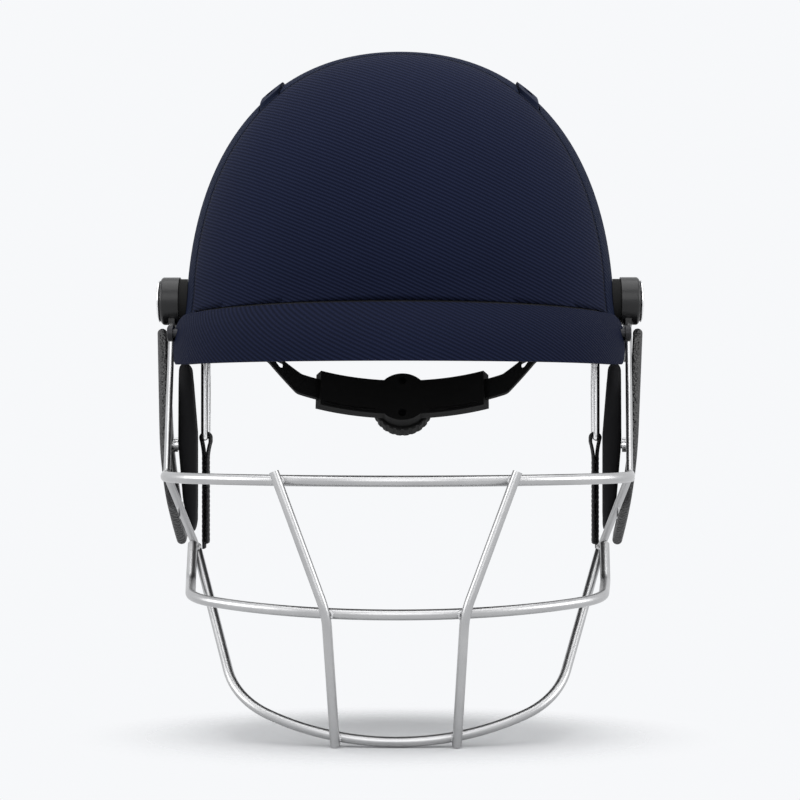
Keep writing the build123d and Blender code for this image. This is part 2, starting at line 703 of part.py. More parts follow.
for side_name, side in SIDES:
    save(f"pivot_bolt_{side_name}", mirrored(pivot_bolt.part, side))
    save(f"pivot_cap_{side_name}", mirrored(pivot_cap.part, side))
    save(f"pivot_boss_{side_name}", mirrored(pivot_boss.part, side))
    save(f"strap_anchor_{side_name}", mirrored(strap_anchor.part, side))
    save(f"strap_hanger_{side_name}", mirrored(strap_hanger.part, side))
    save(f"strap_{side_name}", mirrored(strap.part, side))
with BuildPart() as pivot_washers:
    add(pivot_washer.part)
    mirror(about=Plane.YZ)
save("pivot_washers", pivot_washers.part)

# Wire grille
def bow_plane(y, z, tilt):
    """Plane of a bow whose front is at y and z and which rises to the rear by tilt."""
    lean = radians(tilt)
    return Plane(origin=(0, y, z), x_dir=(1, 0, 0), z_dir=(0, -sin(lean), cos(lean)))


def bow_sizes(half_width, depth, corner, bow_angle, end_angle):
    """Front radius and straight end run of a bow that is half_width wide and depth deep."""
    bow, end = radians(bow_angle), radians(end_angle)
    wide = half_width - corner * (sin(end) - sin(bow))
    deep = depth - corner * (cos(bow) - cos(end))
    run = (deep * sin(bow) - wide * (1 - cos(bow))) / (sin(end) * sin(bow) - cos(end) * (1 - cos(bow)))
    return (wide - run * cos(end)) / sin(bow), run


def bow_wire(plane, sizes, radius, hook_end=None):
    """A wire bent to a bow in plane. Its ends can be hooked up to a point."""
    corner, bow_angle, end_angle = sizes[2:]
    front_radius, run = bow_sizes(*sizes)
    lean = (cos(radians(bow_angle)), sin(radians(bow_angle)))
    with BuildPart() as wire:
        with BuildLine(plane) as path:
            nose = JernArc(start=(0, 0), tangent=(1, 0), radius=front_radius, arc_size=bow_angle)
            turn = JernArc(start=nose @ 1, tangent=lean, radius=corner, arc_size=end_angle - bow_angle)
            run_end = (turn @ 1) + (turn % 1) * run
            if hook_end is None:
                Line(turn @ 1, run_end)
            else:
                FilletPolyline(turn @ 1, run_end, hook_end, radius=HOOK_BEND)
            mirror(about=Plane.YZ)
        line = path.wire()
        with BuildSketch(Plane(origin=line @ 0, z_dir=line % 0)):
            Circle(radius)
        sweep(path=line)
    return wire.part


def straight_wire(start, end, radius):
    """A straight wire between two points."""
    with BuildPart() as wire:
        with BuildSketch(Plane(origin=start, z_dir=end - start)):
            Circle(radius)
        extrude(amount=(end - start).length)
    return wire.part


def before_bow(plane, sizes, x, depth):
    """Point that lies depth in front of a bow at width x."""
    front_radius = bow_sizes(*sizes)[0]
    on_bow = plane.from_local_coords((x, front_radius - sqrt(front_radius**2 - x**2)))
    return on_bow - Vector(0, depth / cos(asin(x / front_radius)), 0)


top_plane = bow_plane(GRILLE_FRONT_Y, TOP_BAR_Z, 0)
middle_plane = bow_plane(GRILLE_FRONT_Y, MIDDLE_BAR_Z, MIDDLE_BAR_TILT)
chin_plane = bow_plane(CHIN_BAR_Y, CHIN_BAR_Z, CHIN_BAR_TILT)
top_sizes = (TOP_BAR_HALF_WIDTH, BAR_DEPTH, TOP_BAR_CORNER, BOW_ANGLE, BAR_END_ANGLE)
middle_sizes = (MIDDLE_BAR_HALF_WIDTH, BAR_DEPTH, MIDDLE_BAR_CORNER, BOW_ANGLE, BAR_END_ANGLE)
chin_sizes = (CHIN_BAR_HALF_WIDTH, CHIN_BAR_DEPTH, CHIN_BAR_CORNER, CHIN_BOW_ANGLE, CHIN_END_ANGLE)
top_end = top_plane.from_local_coords(top_sizes[:2])
chin_end = chin_plane.from_local_coords(chin_sizes[:2])

top_bar = bow_wire(top_plane, top_sizes, TOP_BAR_RADIUS)
chin_bar = bow_wire(chin_plane, chin_sizes, CHIN_BAR_RADIUS)
save("grille_top_bar", top_bar)
save("grille_chin_bar", chin_bar)

# Cheek wires hang the chin bar from the corners of the top bar.
with BuildPart() as cheek_wire:
    add(straight_wire(top_end, chin_end, CHEEK_WIRE_RADIUS))
    add(top_bar, mode=Mode.SUBTRACT)
    add(chin_bar, mode=Mode.SUBTRACT)
    add(cheek_wire.solids().sort_by(SortBy.VOLUME)[-1], mode=Mode.REPLACE)

# The middle bar is hooked up at its ends to the foot of the cheek wires.
with BuildPart() as middle_bar:
    add(bow_wire(middle_plane, middle_sizes, MIDDLE_BAR_RADIUS, chin_end + Vector(*HOOK_END_SHIFT)))
    add(chin_bar, mode=Mode.SUBTRACT)
    add(cheek_wire.part, mode=Mode.SUBTRACT)
    add(mirrored(cheek_wire.part, -1), mode=Mode.SUBTRACT)
    add(middle_bar.solids().sort_by(SortBy.VOLUME)[-1], mode=Mode.REPLACE)
save("grille_middle_bar", middle_bar.part)

# Uprights run in front of the bars and bend at the middle one.
rise = UPRIGHT_RADIUS - WIRE_SINK
upright_top = before_bow(top_plane, top_sizes, UPRIGHT_TOP_X, TOP_BAR_RADIUS + rise)
upright_bend = before_bow(middle_plane, middle_sizes, UPRIGHT_MIDDLE_X, MIDDLE_BAR_RADIUS + rise)
upright_foot = before_bow(chin_plane, chin_sizes, UPRIGHT_CHIN_X, CHIN_BAR_RADIUS + rise)
top_reach = (upright_top - upright_bend).normalized() * (TOP_BAR_RADIUS + UPRIGHT_OVERHANG)
foot_reach = (upright_foot - upright_bend).normalized() * (CHIN_BAR_RADIUS + UPRIGHT_OVERHANG)
with BuildPart() as grille_upright:
    with BuildLine() as upright_path:
        FilletPolyline(
            upright_top + top_reach, upright_bend, upright_foot + foot_reach, radius=UPRIGHT_BEND
        )
    with BuildSketch(Plane(origin=upright_path.wire() @ 0, z_dir=upright_path.wire() % 0)):
        Circle(UPRIGHT_RADIUS)
    sweep(path=upright_path.wire())
    add(top_bar, mode=Mode.SUBTRACT)
    add(middle_bar.part, mode=Mode.SUBTRACT)
    add(chin_bar, mode=Mode.SUBTRACT)

# Side wires carry the grille on the necks of the pivots.
neck_foot = Vector(
    NECK_IN_X + NECK_WALL / 2, PIVOT_Y - NECK_HALF_WIDTH + SIDE_WIRE_RADIUS, PIVOT_Z - BARREL_RADIUS
)
with BuildPart() as side_wire:
    add(straight_wire(neck_foot, top_end, SIDE_WIRE_RADIUS))
    add(pivot_boss.part, mode=Mode.SUBTRACT)
    add(top_bar, mode=Mode.SUBTRACT)
    add(cheek_wire.part, mode=Mode.SUBTRACT)
    add(side_wire.solids().sort_by(SortBy.VOLUME)[-1], mode=Mode.REPLACE)


# Ear guards, each a leaning wall cut to its side view. They are drawn square and then toed in.
TOE_AXIS = Axis((GUARD_TOP_MID[0], 0, 0), (0, 0, 1))


def toed(part):
    """The piece turned in towards the face."""
    return part.rotate(TOE_AXIS, -EAR_TOE_IN)


def guard_block(grow):
    """The leaning wall of a guard, grown by grow."""
    with BuildPart() as block:
        with BuildSketch(Plane.XZ.offset(-OVERRUN)):
            with BuildLine():
                lean = Line(GUARD_TOP_MID, GUARD_TURN_MID)
                TangentArc(lean @ 1, GUARD_LOW_MID, tangent=lean % 1)
                offset(amount=GUARD_WALL / 2 + grow, kind=Kind.ARC)
            make_face()
        extrude(amount=-GUARD_SIDE_VIEW[1][1] + 2 * OVERRUN)
    return block.part


with BuildPart() as guard_screw:
    with BuildSketch(Plane.YZ.offset(GUARD_SCREW_IN_X)):
        with Locations((0, GUARD_SCREW_Z)):
            with GridLocations(GUARD_SCREW_SPAN, GUARD_SCREW_SPAN, 2, 1):
                Circle(GUARD_SCREW_RADIUS)
    extrude(amount=GUARD_SCREW_OUT_X - GUARD_SCREW_IN_X)
    with BuildSketch(Plane.YZ.offset(GUARD_COLLAR_IN_X)):
        with Locations((0, GUARD_SCREW_Z)):
            with GridLocations(GUARD_SCREW_SPAN, GUARD_SCREW_SPAN, 2, 1):
                Circle(GUARD_COLLAR_RADIUS)
    extrude(amount=GUARD_COLLAR_OUT_X - GUARD_COLLAR_IN_X)
with BuildPart() as ear_guard_screws:
    add(toed(guard_screw.part))
    mirror(about=Plane.YZ)
save("ear_guard_screws", ear_guard_screws.part)

with BuildPart() as screw_holes:
    with BuildSketch(Plane.YZ.offset(GUARD_SCREW_IN_X - RUNNING_GAP)):
        with Locations((0, GUARD_SCREW_Z)):
            with GridLocations(GUARD_SCREW_SPAN, GUARD_SCREW_SPAN, 2, 1):
                Circle(GUARD_SCREW_RADIUS + RUNNING_GAP)
    extrude(amount=GUARD_SCREW_OUT_X - GUARD_SCREW_IN_X + 2 * RUNNING_GAP)

with BuildPart() as ear_guard:
    with BuildSketch(Plane.YZ.offset(BAIL_X)):
        with BuildLine():
            FilletPolyline(*GUARD_SIDE_VIEW, radius=GUARD_CORNER, close=True)
        make_face()
    extrude(amount=OVERRUN / 2)
    add(guard_block(0), mode=Mode.INTERSECT)
    fillet(ear_guard.faces().sort_by(Axis.X)[-1].edges(), GUARD_EDGE)
    add(screw_holes.part, mode=Mode.SUBTRACT)

with BuildPart() as guard_lug:
    with BuildSketch(Plane.YZ.offset(LUG_IN_X)):
        with Locations(((LUG_FRONT_Y + LUG_REAR_Y) / 2, LUG_Z)):
            RectangleRounded(LUG_REAR_Y - LUG_FRONT_Y, LUG_HEIGHT, LUG_HEIGHT / 3)
    extrude(amount=GUARD_WALL)
    add(toed(guard_block(FACE_GAP / 3)), mode=Mode.SUBTRACT)
    add(cheek_wire.part, mode=Mode.SUBTRACT)
    add(guard_lug.solids().sort_by(SortBy.VOLUME)[-1], mode=Mode.REPLACE)

ear_pad_low_z = EAR_PAD_SECTION[4][1]
ear_pad_high_z = EAR_PAD_SECTION[0][1]
with BuildPart() as ear_pad:
    with BuildSketch(Plane.YZ.offset(BAIL_X)):
        with Locations((0, (ear_pad_low_z + ear_pad_high_z) / 2)):
            RectangleRounded(EAR_PAD_WIDTH, ear_pad_high_z - ear_pad_low_z, EAR_PAD_CORNER)
    extrude(amount=OVERRUN / 2)
    with BuildSketch(Plane.XZ.offset(-EAR_PAD_WIDTH / 2)):
        with BuildLine():
            Polyline(*EAR_PAD_SECTION, close=True)
        make_face()
    extrude(amount=EAR_PAD_WIDTH, mode=Mode.INTERSECT)
    add(screw_holes.part, mode=Mode.SUBTRACT)

# Rear size adjuster. The bands lie on an arc in a plane that falls to the rear.
TILT = radians(ADJUSTER_TILT)
ARC_Y = ADJUSTER_Y - BAND_RADIUS * cos(TILT)
ARC_Z = ADJUSTER_Z + BAND_RADIUS * sin(TILT)
BAND_PLANE = Plane(origin=(0, ARC_Y, ARC_Z), x_dir=(1, 0, 0), z_dir=(0, sin(TILT), cos(TILT)))
PITCH_RADIUS = MODULE * PINION_TEETH / 2
ADDENDUM = MODULE * ADDENDUM_SHARE
DEDENDUM = MODULE * DEDENDUM_SHARE
TOOTH_HALF_WIDTH = (pi * MODULE - BACKLASH) / 4
SLOT_HALF_WALL = BAND_WALL / 2 + BAND_GAP
SLOT_HALF_HEIGHT = BAND_HALF_HEIGHT + BAND_GAP


def dial_plane(reach):
    """Plane square to the dial at reach from the centre of the arc, its Y up and its Z to the face."""
    origin = (0, ARC_Y + reach * cos(TILT), ARC_Z - reach * sin(TILT))
    return Plane(origin=origin, x_dir=(1, 0, 0), z_dir=(0, -cos(TILT), sin(TILT)))


def dial_disc(radius, reach_low, reach_high):
    """A disc on the dial's axis between two reaches."""
    with BuildPart() as disc:
        with BuildSketch(dial_plane(reach_low)):
            Circle(radius)
        extrude(amount=reach_low - reach_high)
    return disc.part


def arc_sector(reach_low, reach_high, angle_low, angle_high, low, high):
    """Piece of a ring about the centre of the arc. Angles run from the rear to the right."""
    with BuildPart() as sector:
        with BuildSketch(BAND_PLANE.offset(low)):
            with BuildLine():
                outer = CenterArc((0, 0), reach_high, 90 - angle_high, angle_high - angle_low)
                inner = CenterArc((0, 0), reach_low, 90 - angle_high, angle_high - angle_low)
                Line(outer @ 0, inner @ 0)
                Line(outer @ 1, inner @ 1)
            make_face()
        extrude(amount=high - low)
    return sector.part


def band(arm_side):
    """Toothed band for the right, its arm above the pinion for 1 and below it for -1."""
    arm_low = PITCH_RADIUS + DEDENDUM
    tip_x, body_x, end_x = [
        BAND_RADIUS * sin(radians(angle)) for angle in (-ARM_TIP_ANGLE, BAND_BODY_ANGLE, BAND_END_ANGLE)
    ]
    low_sweep, high_sweep, hole_ends = [
        [BAND_RADIUS * sin(radians(angle)) for angle in angles]
        for angles in (BAND_LOW_SWEEP_ANGLES, BAND_HIGH_SWEEP_ANGLES, BAND_HOLE_ANGLES)
    ]
    inner = BAND_RADIUS - BAND_WALL / 2
    outer = BAND_RADIUS + BAND_WALL / 2
    with BuildPart() as strip:
        add(arc_sector(inner, outer, -ARM_TIP_ANGLE, BAND_END_ANGLE, -BAND_HALF_HEIGHT, BAND_TAIL_HIGH))
        with BuildSketch(dial_plane(0)) as face:
            with BuildLine():
                Polyline(
                    (body_x, -BAND_HALF_HEIGHT),
                    (low_sweep[0], -BAND_HALF_HEIGHT),
                    (low_sweep[1], BAND_TAIL_LOW),
                    (end_x, BAND_TAIL_LOW),
                    (end_x, BAND_TAIL_HIGH),
                    (high_sweep[1], BAND_TAIL_HIGH),
                    (high_sweep[0], BAND_HALF_HEIGHT),
                    (body_x, BAND_HALF_HEIGHT),
                    close=True,
                )
            make_face()
            fillet(face.vertices().sort_by(Axis.X)[2:6], BAND_CORNER)
            fillet(face.vertices().group_by(Axis.X)[-1], BAND_CORNER / 3)
            with Locations(((tip_x + body_x) / 2, arm_side * (arm_low + BAND_HALF_HEIGHT) / 2)):
                Rectangle(body_x - tip_x + BAND_GAP, BAND_HALF_HEIGHT - arm_low)
            with BuildLine():
                FilletPolyline(
                    (hole_ends[0], BAND_HOLE_LOW),
                    (hole_ends[1], BAND_HOLE_HIGH),
                    (hole_ends[0], BAND_HOLE_HIGH),
                    radius=BAND_HOLE_CORNER,
                    close=True,
                )
            make_face(mode=Mode.SUBTRACT)
        extrude(amount=-outer - BAND_WALL, mode=Mode.INTERSECT)
        for tooth in range(RACK_TEETH):
            angle = (tooth - (RACK_TEETH - 1) / 2) * pi * MODULE / BAND_RADIUS
            outward = Vector(sin(angle), cos(angle) * cos(TILT), -cos(angle) * sin(TILT))
            along = Vector(cos(angle), -sin(angle) * cos(TILT), sin(angle) * sin(TILT))
            with BuildSketch(
                Plane(origin=Vector(0, ARC_Y, ARC_Z) + outward * outer, x_dir=along, z_dir=-outward)
            ):
                with BuildLine():
                    Polyline(*[(x, arm_side * z) for x, z in tooth_section], close=True)
                make_face()
            extrude(amount=BAND_WALL)
    return strip.part


# A rack tooth that points down from the arm, and the whole outline of the pinion
flank = tan(radians(PRESSURE_ANGLE))
tooth_root = PITCH_RADIUS + DEDENDUM + BACKLASH
tooth_tip = PITCH_RADIUS - ADDENDUM
root_half = TOOTH_HALF_WIDTH + (tooth_root - PITCH_RADIUS) * flank
tip_half = TOOTH_HALF_WIDTH - ADDENDUM * flank
tooth_section = (
    (-root_half, tooth_root),
    (-tip_half, tooth_tip),
    (tip_half, tooth_tip),
    (root_half, tooth_root),
)

base_radius = PITCH_RADIUS * cos(radians(PRESSURE_ANGLE))
tip_radius = PITCH_RADIUS + ADDENDUM
root_radius = PITCH_RADIUS - DEDENDUM
base_half_angle = TOOTH_HALF_WIDTH / PITCH_RADIUS + flank - radians(PRESSURE_ANGLE)
flank_points = [(root_radius, base_half_angle)]
for step in range(FLANK_STEPS + 1):
    radius = base_radius + (tip_radius - base_radius) * step / FLANK_STEPS
    roll = acos(base_radius / radius)
    flank_points.append((radius, base_half_angle - tan(roll) + roll))
pinion_outline = []
for tooth in range(PINION_TEETH):
    middle = 2 * pi * tooth / PINION_TEETH
    turned = [(r, middle - a) for r, a in flank_points]
    turned += [(r, middle + a) for r, a in reversed(flank_points)]
    pinion_outline += [(r * cos(a), r * sin(a)) for r, a in turned]

front_reach = BAND_RADIUS - SLOT_HALF_WALL - HOUSING_WALL
rear_reach = BAND_RADIUS + SLOT_HALF_WALL + HOUSING_WALL
disc_front = front_reach - HOUSING_DISC_PROUD
disc_rear = rear_reach + HOUSING_DISC_PROUD
knob_front = disc_rear + FACE_GAP
knob_rear = knob_front + KNOB_WALL
shaft_end = knob_front + SHAFT_IN_KNOB
screw_head_front = knob_rear - DIAL_SCREW_HEAD_WALL
screw_tip = knob_rear - DIAL_SCREW_LENGTH
pinion_front = BAND_RADIUS - PINION_HALF_WALL
pinion_rear = BAND_RADIUS + PINION_HALF_WALL
stub_front = pinion_front - STUB_LENGTH

with BuildPart() as drive_pinion:
    with BuildSketch(dial_plane(pinion_rear)):
        with BuildLine():
            Polyline(*pinion_outline, close=True)
        make_face()
    extrude(amount=2 * PINION_HALF_WALL)
    add(dial_disc(SHAFT_RADIUS, pinion_rear, shaft_end))
    add(dial_disc(STUB_RADIUS, stub_front, pinion_front))
    add(dial_disc(DIAL_SCREW_RADIUS + RUNNING_GAP, screw_tip - RUNNING_GAP, shaft_end), mode=Mode.SUBTRACT)
save("drive_pinion", drive_pinion.part)

with BuildPart() as dial_screw:
    add(dial_disc(DIAL_SCREW_RADIUS, screw_tip, knob_rear - DIAL_SCREW_HEAD_WALL))
    add(dial_disc(DIAL_SCREW_HEAD, screw_head_front, knob_rear))
save("dial_screw", dial_screw.part)

with BuildPart() as dial_knob:
    add(dial_disc(KNOB_RADIUS, knob_front, knob_rear))
    fillet(dial_knob.edges(), KNOB_EDGE)
    with BuildSketch(dial_plane(knob_front)):
        with PolarLocations(KNOB_RADIUS + KNOB_FLUTE_RADIUS / 2, KNOB_FLUTES):
            Circle(KNOB_FLUTE_RADIUS)
    extrude(amount=-KNOB_WALL, mode=Mode.SUBTRACT)
    add(dial_disc(SHAFT_RADIUS + RUNNING_GAP, knob_front, shaft_end + RUNNING_GAP), mode=Mode.SUBTRACT)
    add(dial_disc(DIAL_SCREW_RADIUS + RUNNING_GAP, shaft_end, knob_rear), mode=Mode.SUBTRACT)
    add(
        dial_disc(DIAL_SCREW_HEAD + RUNNING_GAP, screw_head_front - RUNNING_GAP, knob_rear),
        mode=Mode.SUBTRACT,
    )
save("dial_knob", dial_knob.part)

for side_name, side in SIDES:
    save(f"band_{side_name}", mirrored(band(side), side))

with BuildPart() as housing_screws:
    with BuildSketch(dial_plane(disc_front)):
        with GridLocations(2 * HOUSING_SCREW_RISE, 2 * HOUSING_SCREW_RISE, 1, 2):
            Circle(HOUSING_SCREW_HEAD)
    extrude(amount=-HOUSING_SCREW_HEAD_WALL)
    with BuildSketch(dial_plane(disc_front)):
        with GridLocations(2 * HOUSING_SCREW_RISE, 2 * HOUSING_SCREW_RISE, 1, 2):
            Circle(HOUSING_SCREW_RADIUS)
    extrude(amount=-HOUSING_SCREW_LENGTH)
save("adjuster_screws", housing_screws.part)

with BuildPart() as housing:
    add(
        arc_sector(
            front_reach,
            rear_reach,
            -HOUSING_HALF_ANGLE,
            HOUSING_HALF_ANGLE,
            -HOUSING_HALF_HEIGHT,
            HOUSING_HALF_HEIGHT,
        )
    )
    add(dial_disc(HOUSING_DISC_RADIUS, disc_front, disc_rear))
    add(
        arc_sector(
            BAND_RADIUS - SLOT_HALF_WALL,
            BAND_RADIUS + SLOT_HALF_WALL,
            -HOUSING_HALF_ANGLE - ARM_TIP_ANGLE,
            HOUSING_HALF_ANGLE + ARM_TIP_ANGLE,
            -SLOT_HALF_HEIGHT,
            SLOT_HALF_HEIGHT,
        ),
        mode=Mode.SUBTRACT,
    )
    add(
        dial_disc(tip_radius + BAND_GAP, pinion_front - RUNNING_GAP, pinion_rear + RUNNING_GAP),
        mode=Mode.SUBTRACT,
    )
    add(dial_disc(SHAFT_RADIUS + RUNNING_GAP, pinion_rear, disc_rear), mode=Mode.SUBTRACT)
    add(dial_disc(STUB_RADIUS + RUNNING_GAP, stub_front - RUNNING_GAP, pinion_front), mode=Mode.SUBTRACT)
    for low in GROOVE_RISES:
        for side in (-1, 1):
            with BuildSketch(BAND_PLANE.offset(low)):
                with BuildLine():
                    near, far = sorted((side * GROOVE_ANGLES[0], side * GROOVE_ANGLES[1]))
                    outer = CenterArc((0, 0), front_reach + GROOVE_DEPTH, 90 - far, far - near)
                    inner = CenterArc((0, 0), front_reach - GROOVE_DEPTH, 90 - far, far - near)
                    Line(outer @ 0, inner @ 0)
                    Line(outer @ 1, inner @ 1)
                make_face()
            extrude(amount=GROOVE_WIDTH, mode=Mode.SUBTRACT)
    with BuildSketch(dial_plane(disc_front)):
        with GridLocations(2 * HOUSING_SCREW_RISE, 2 * HOUSING_SCREW_RISE, 1, 2):
            Circle(HOUSING_SCREW_HEAD + RUNNING_GAP)
    extrude(amount=-HOUSING_SCREW_HEAD_WALL - RUNNING_GAP, mode=Mode.SUBTRACT)
    with BuildSketch(dial_plane(disc_front)):
        with GridLocations(2 * HOUSING_SCREW_RISE, 2 * HOUSING_SCREW_RISE, 1, 2):
            Circle(HOUSING_SCREW_RADIUS + RUNNING_GAP)
    extrude(amount=-HOUSING_SCREW_LENGTH - RUNNING_GAP, mode=Mode.SUBTRACT)

# The housing parts on a cylinder through the middle of the bands.
with BuildPart() as adjuster_front:
    add(housing.part)
    with BuildSketch(BAND_PLANE.offset(-2 * HOUSING_DISC_RADIUS)):
        Circle(BAND_RADIUS - FACE_GAP / 3)
    extrude(amount=4 * HOUSING_DISC_RADIUS, mode=Mode.INTERSECT)
save("adjuster_front", adjuster_front.part)

with BuildPart() as adjuster_rear:
    add(housing.part)
    with BuildSketch(BAND_PLANE.offset(-2 * HOUSING_DISC_RADIUS)):
        Circle(BAND_RADIUS)
    extrude(amount=4 * HOUSING_DISC_RADIUS, mode=Mode.SUBTRACT)
save("adjuster_rear", adjuster_rear.part)

# Guides fixed inside the shell, through which the ends of the bands slide
guide_angles = (GUIDE_ANGLE - GUIDE_HALF_ANGLE, GUIDE_ANGLE + GUIDE_HALF_ANGLE)
guide_low = BAND_TAIL_LOW - BAND_GAP
guide_high = BAND_TAIL_HIGH + BAND_GAP
guide_in = BAND_RADIUS - SLOT_HALF_WALL
guide_out = BAND_RADIUS + SLOT_HALF_WALL
with BuildPart() as band_guide:
    add(
        arc_sector(
            guide_in - GUIDE_WALL,
            guide_out + GUIDE_WALL,
            *guide_angles,
            guide_low - GUIDE_WALL,
            guide_high + GUIDE_WALL,
        )
    )
    add(arc_sector(guide_in - GUIDE_WALL, 2 * guide_out, *guide_angles, guide_high, GUIDE_HIGH))
    add(form(SHELL_IN + SOFT_GAP / 3), mode=Mode.INTERSECT)
    add(
        arc_sector(guide_in, guide_out, 0, 90, guide_low, guide_high),
        mode=Mode.SUBTRACT,
    )

for side_name, side in SIDES:
    save(f"grille_upright_{side_name}", mirrored(grille_upright.part, side))
    save(f"cheek_wire_{side_name}", mirrored(cheek_wire.part, side))
    save(f"side_wire_{side_name}", mirrored(side_wire.part, side))
    save(f"guard_lug_{side_name}", mirrored(guard_lug.part, side))
    save(f"ear_guard_{side_name}", mirrored(toed(ear_guard.part), side))
    save(f"ear_pad_{side_name}", mirrored(toed(ear_pad.part), side))
    save(f"band_guide_{side_name}", mirrored(band_guide.part, side))
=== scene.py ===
import logging
import math
from collections.abc import Callable
from dataclasses import dataclass
from enum import Enum

import bmesh
import bpy
import numpy as np
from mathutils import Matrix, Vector
from mathutils.bvhtree import BVHTree


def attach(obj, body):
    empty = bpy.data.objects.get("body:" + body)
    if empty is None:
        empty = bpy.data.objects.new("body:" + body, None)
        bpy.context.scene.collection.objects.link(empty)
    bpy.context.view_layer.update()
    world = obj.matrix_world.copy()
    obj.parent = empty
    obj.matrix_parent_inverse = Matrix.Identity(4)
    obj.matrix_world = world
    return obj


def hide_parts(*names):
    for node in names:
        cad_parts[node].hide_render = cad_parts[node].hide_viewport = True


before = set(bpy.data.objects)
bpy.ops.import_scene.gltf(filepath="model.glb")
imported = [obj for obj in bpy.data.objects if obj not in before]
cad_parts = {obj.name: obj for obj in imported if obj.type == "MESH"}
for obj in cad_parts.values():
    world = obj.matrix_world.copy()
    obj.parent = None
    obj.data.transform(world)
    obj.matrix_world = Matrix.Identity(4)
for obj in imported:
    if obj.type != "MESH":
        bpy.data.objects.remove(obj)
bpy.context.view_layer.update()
log = logging.getLogger("helmet")

Point = tuple[float, float, float]
Colour = tuple[float, float, float]
Outline = tuple[tuple[float, float], tuple[float, float]]
SIDES = (("left", -1.0), ("right", 1.0))
HELMET_Y = 0.012
TURN = 2 * math.pi


# Shader tools
class Channel:
    """A shader value that adds Math nodes where it is used in an expression."""

    def __init__(self, graph: "Graph", socket: bpy.types.NodeSocket) -> None:
        """Wrap a node's output socket.

        Args:
            graph: The material under construction.
            socket: The output that holds the value.
        """
        self.graph = graph
        self.socket = socket

    def math(self, operation: str, *others: "Channel | float", swapped: bool = False) -> "Channel":
        """Add one Math node.

        Args:
            operation: The Math node's operation.
            others: The other operands.
            swapped: True where this value comes after the others.

        Returns:
            The node's result.
        """
        operands = [*others, self] if swapped else [self, *others]
        node = self.graph.node("ShaderNodeMath", {"operation": operation}, dict(enumerate(operands)))
        return Channel(self.graph, node.outputs[0])

    def __add__(self, other: "Channel | float") -> "Channel":
        """Sum."""
        return self.math("ADD", other)

    def __radd__(self, other: float) -> "Channel":
        """Sum with a number in front."""
        return self.math("ADD", other)

    def __sub__(self, other: "Channel | float") -> "Channel":
        """Difference."""
        return self.math("SUBTRACT", other)

    def __rsub__(self, other: float) -> "Channel":
        """Difference from a number."""
        return self.math("SUBTRACT", other, swapped=True)

    def __mul__(self, other: "Channel | float") -> "Channel":
        """Product."""
        return self.math("MULTIPLY", other)

    def __rmul__(self, other: float) -> "Channel":
        """Product with a number in front."""
        return self.math("MULTIPLY", other)

    def wave(self) -> "Channel":
        """Sine of the value in radians, brought between 0 and 1."""
        return self.math("SINE") * 0.5 + 0.5

    def absolute(self) -> "Channel":
        """Size without the sign."""
        return self.math("ABSOLUTE")

    def fade(self, near: float, far: float) -> "Channel":
        """Fade smoothly from 1 to 0.

        Args:
            near: The value up to which the result is 1.
            far: The value from which the result is 0.

        Returns:
            The faded value.
        """
        settings = {"interpolation_type": "SMOOTHSTEP"}
        inputs = {"Value": self, "From Min": near, "From Max": far, "To Min": 1.0, "To Max": 0.0}
        return Channel(self.graph, self.graph.node("ShaderNodeMapRange", settings, inputs).outputs[0])


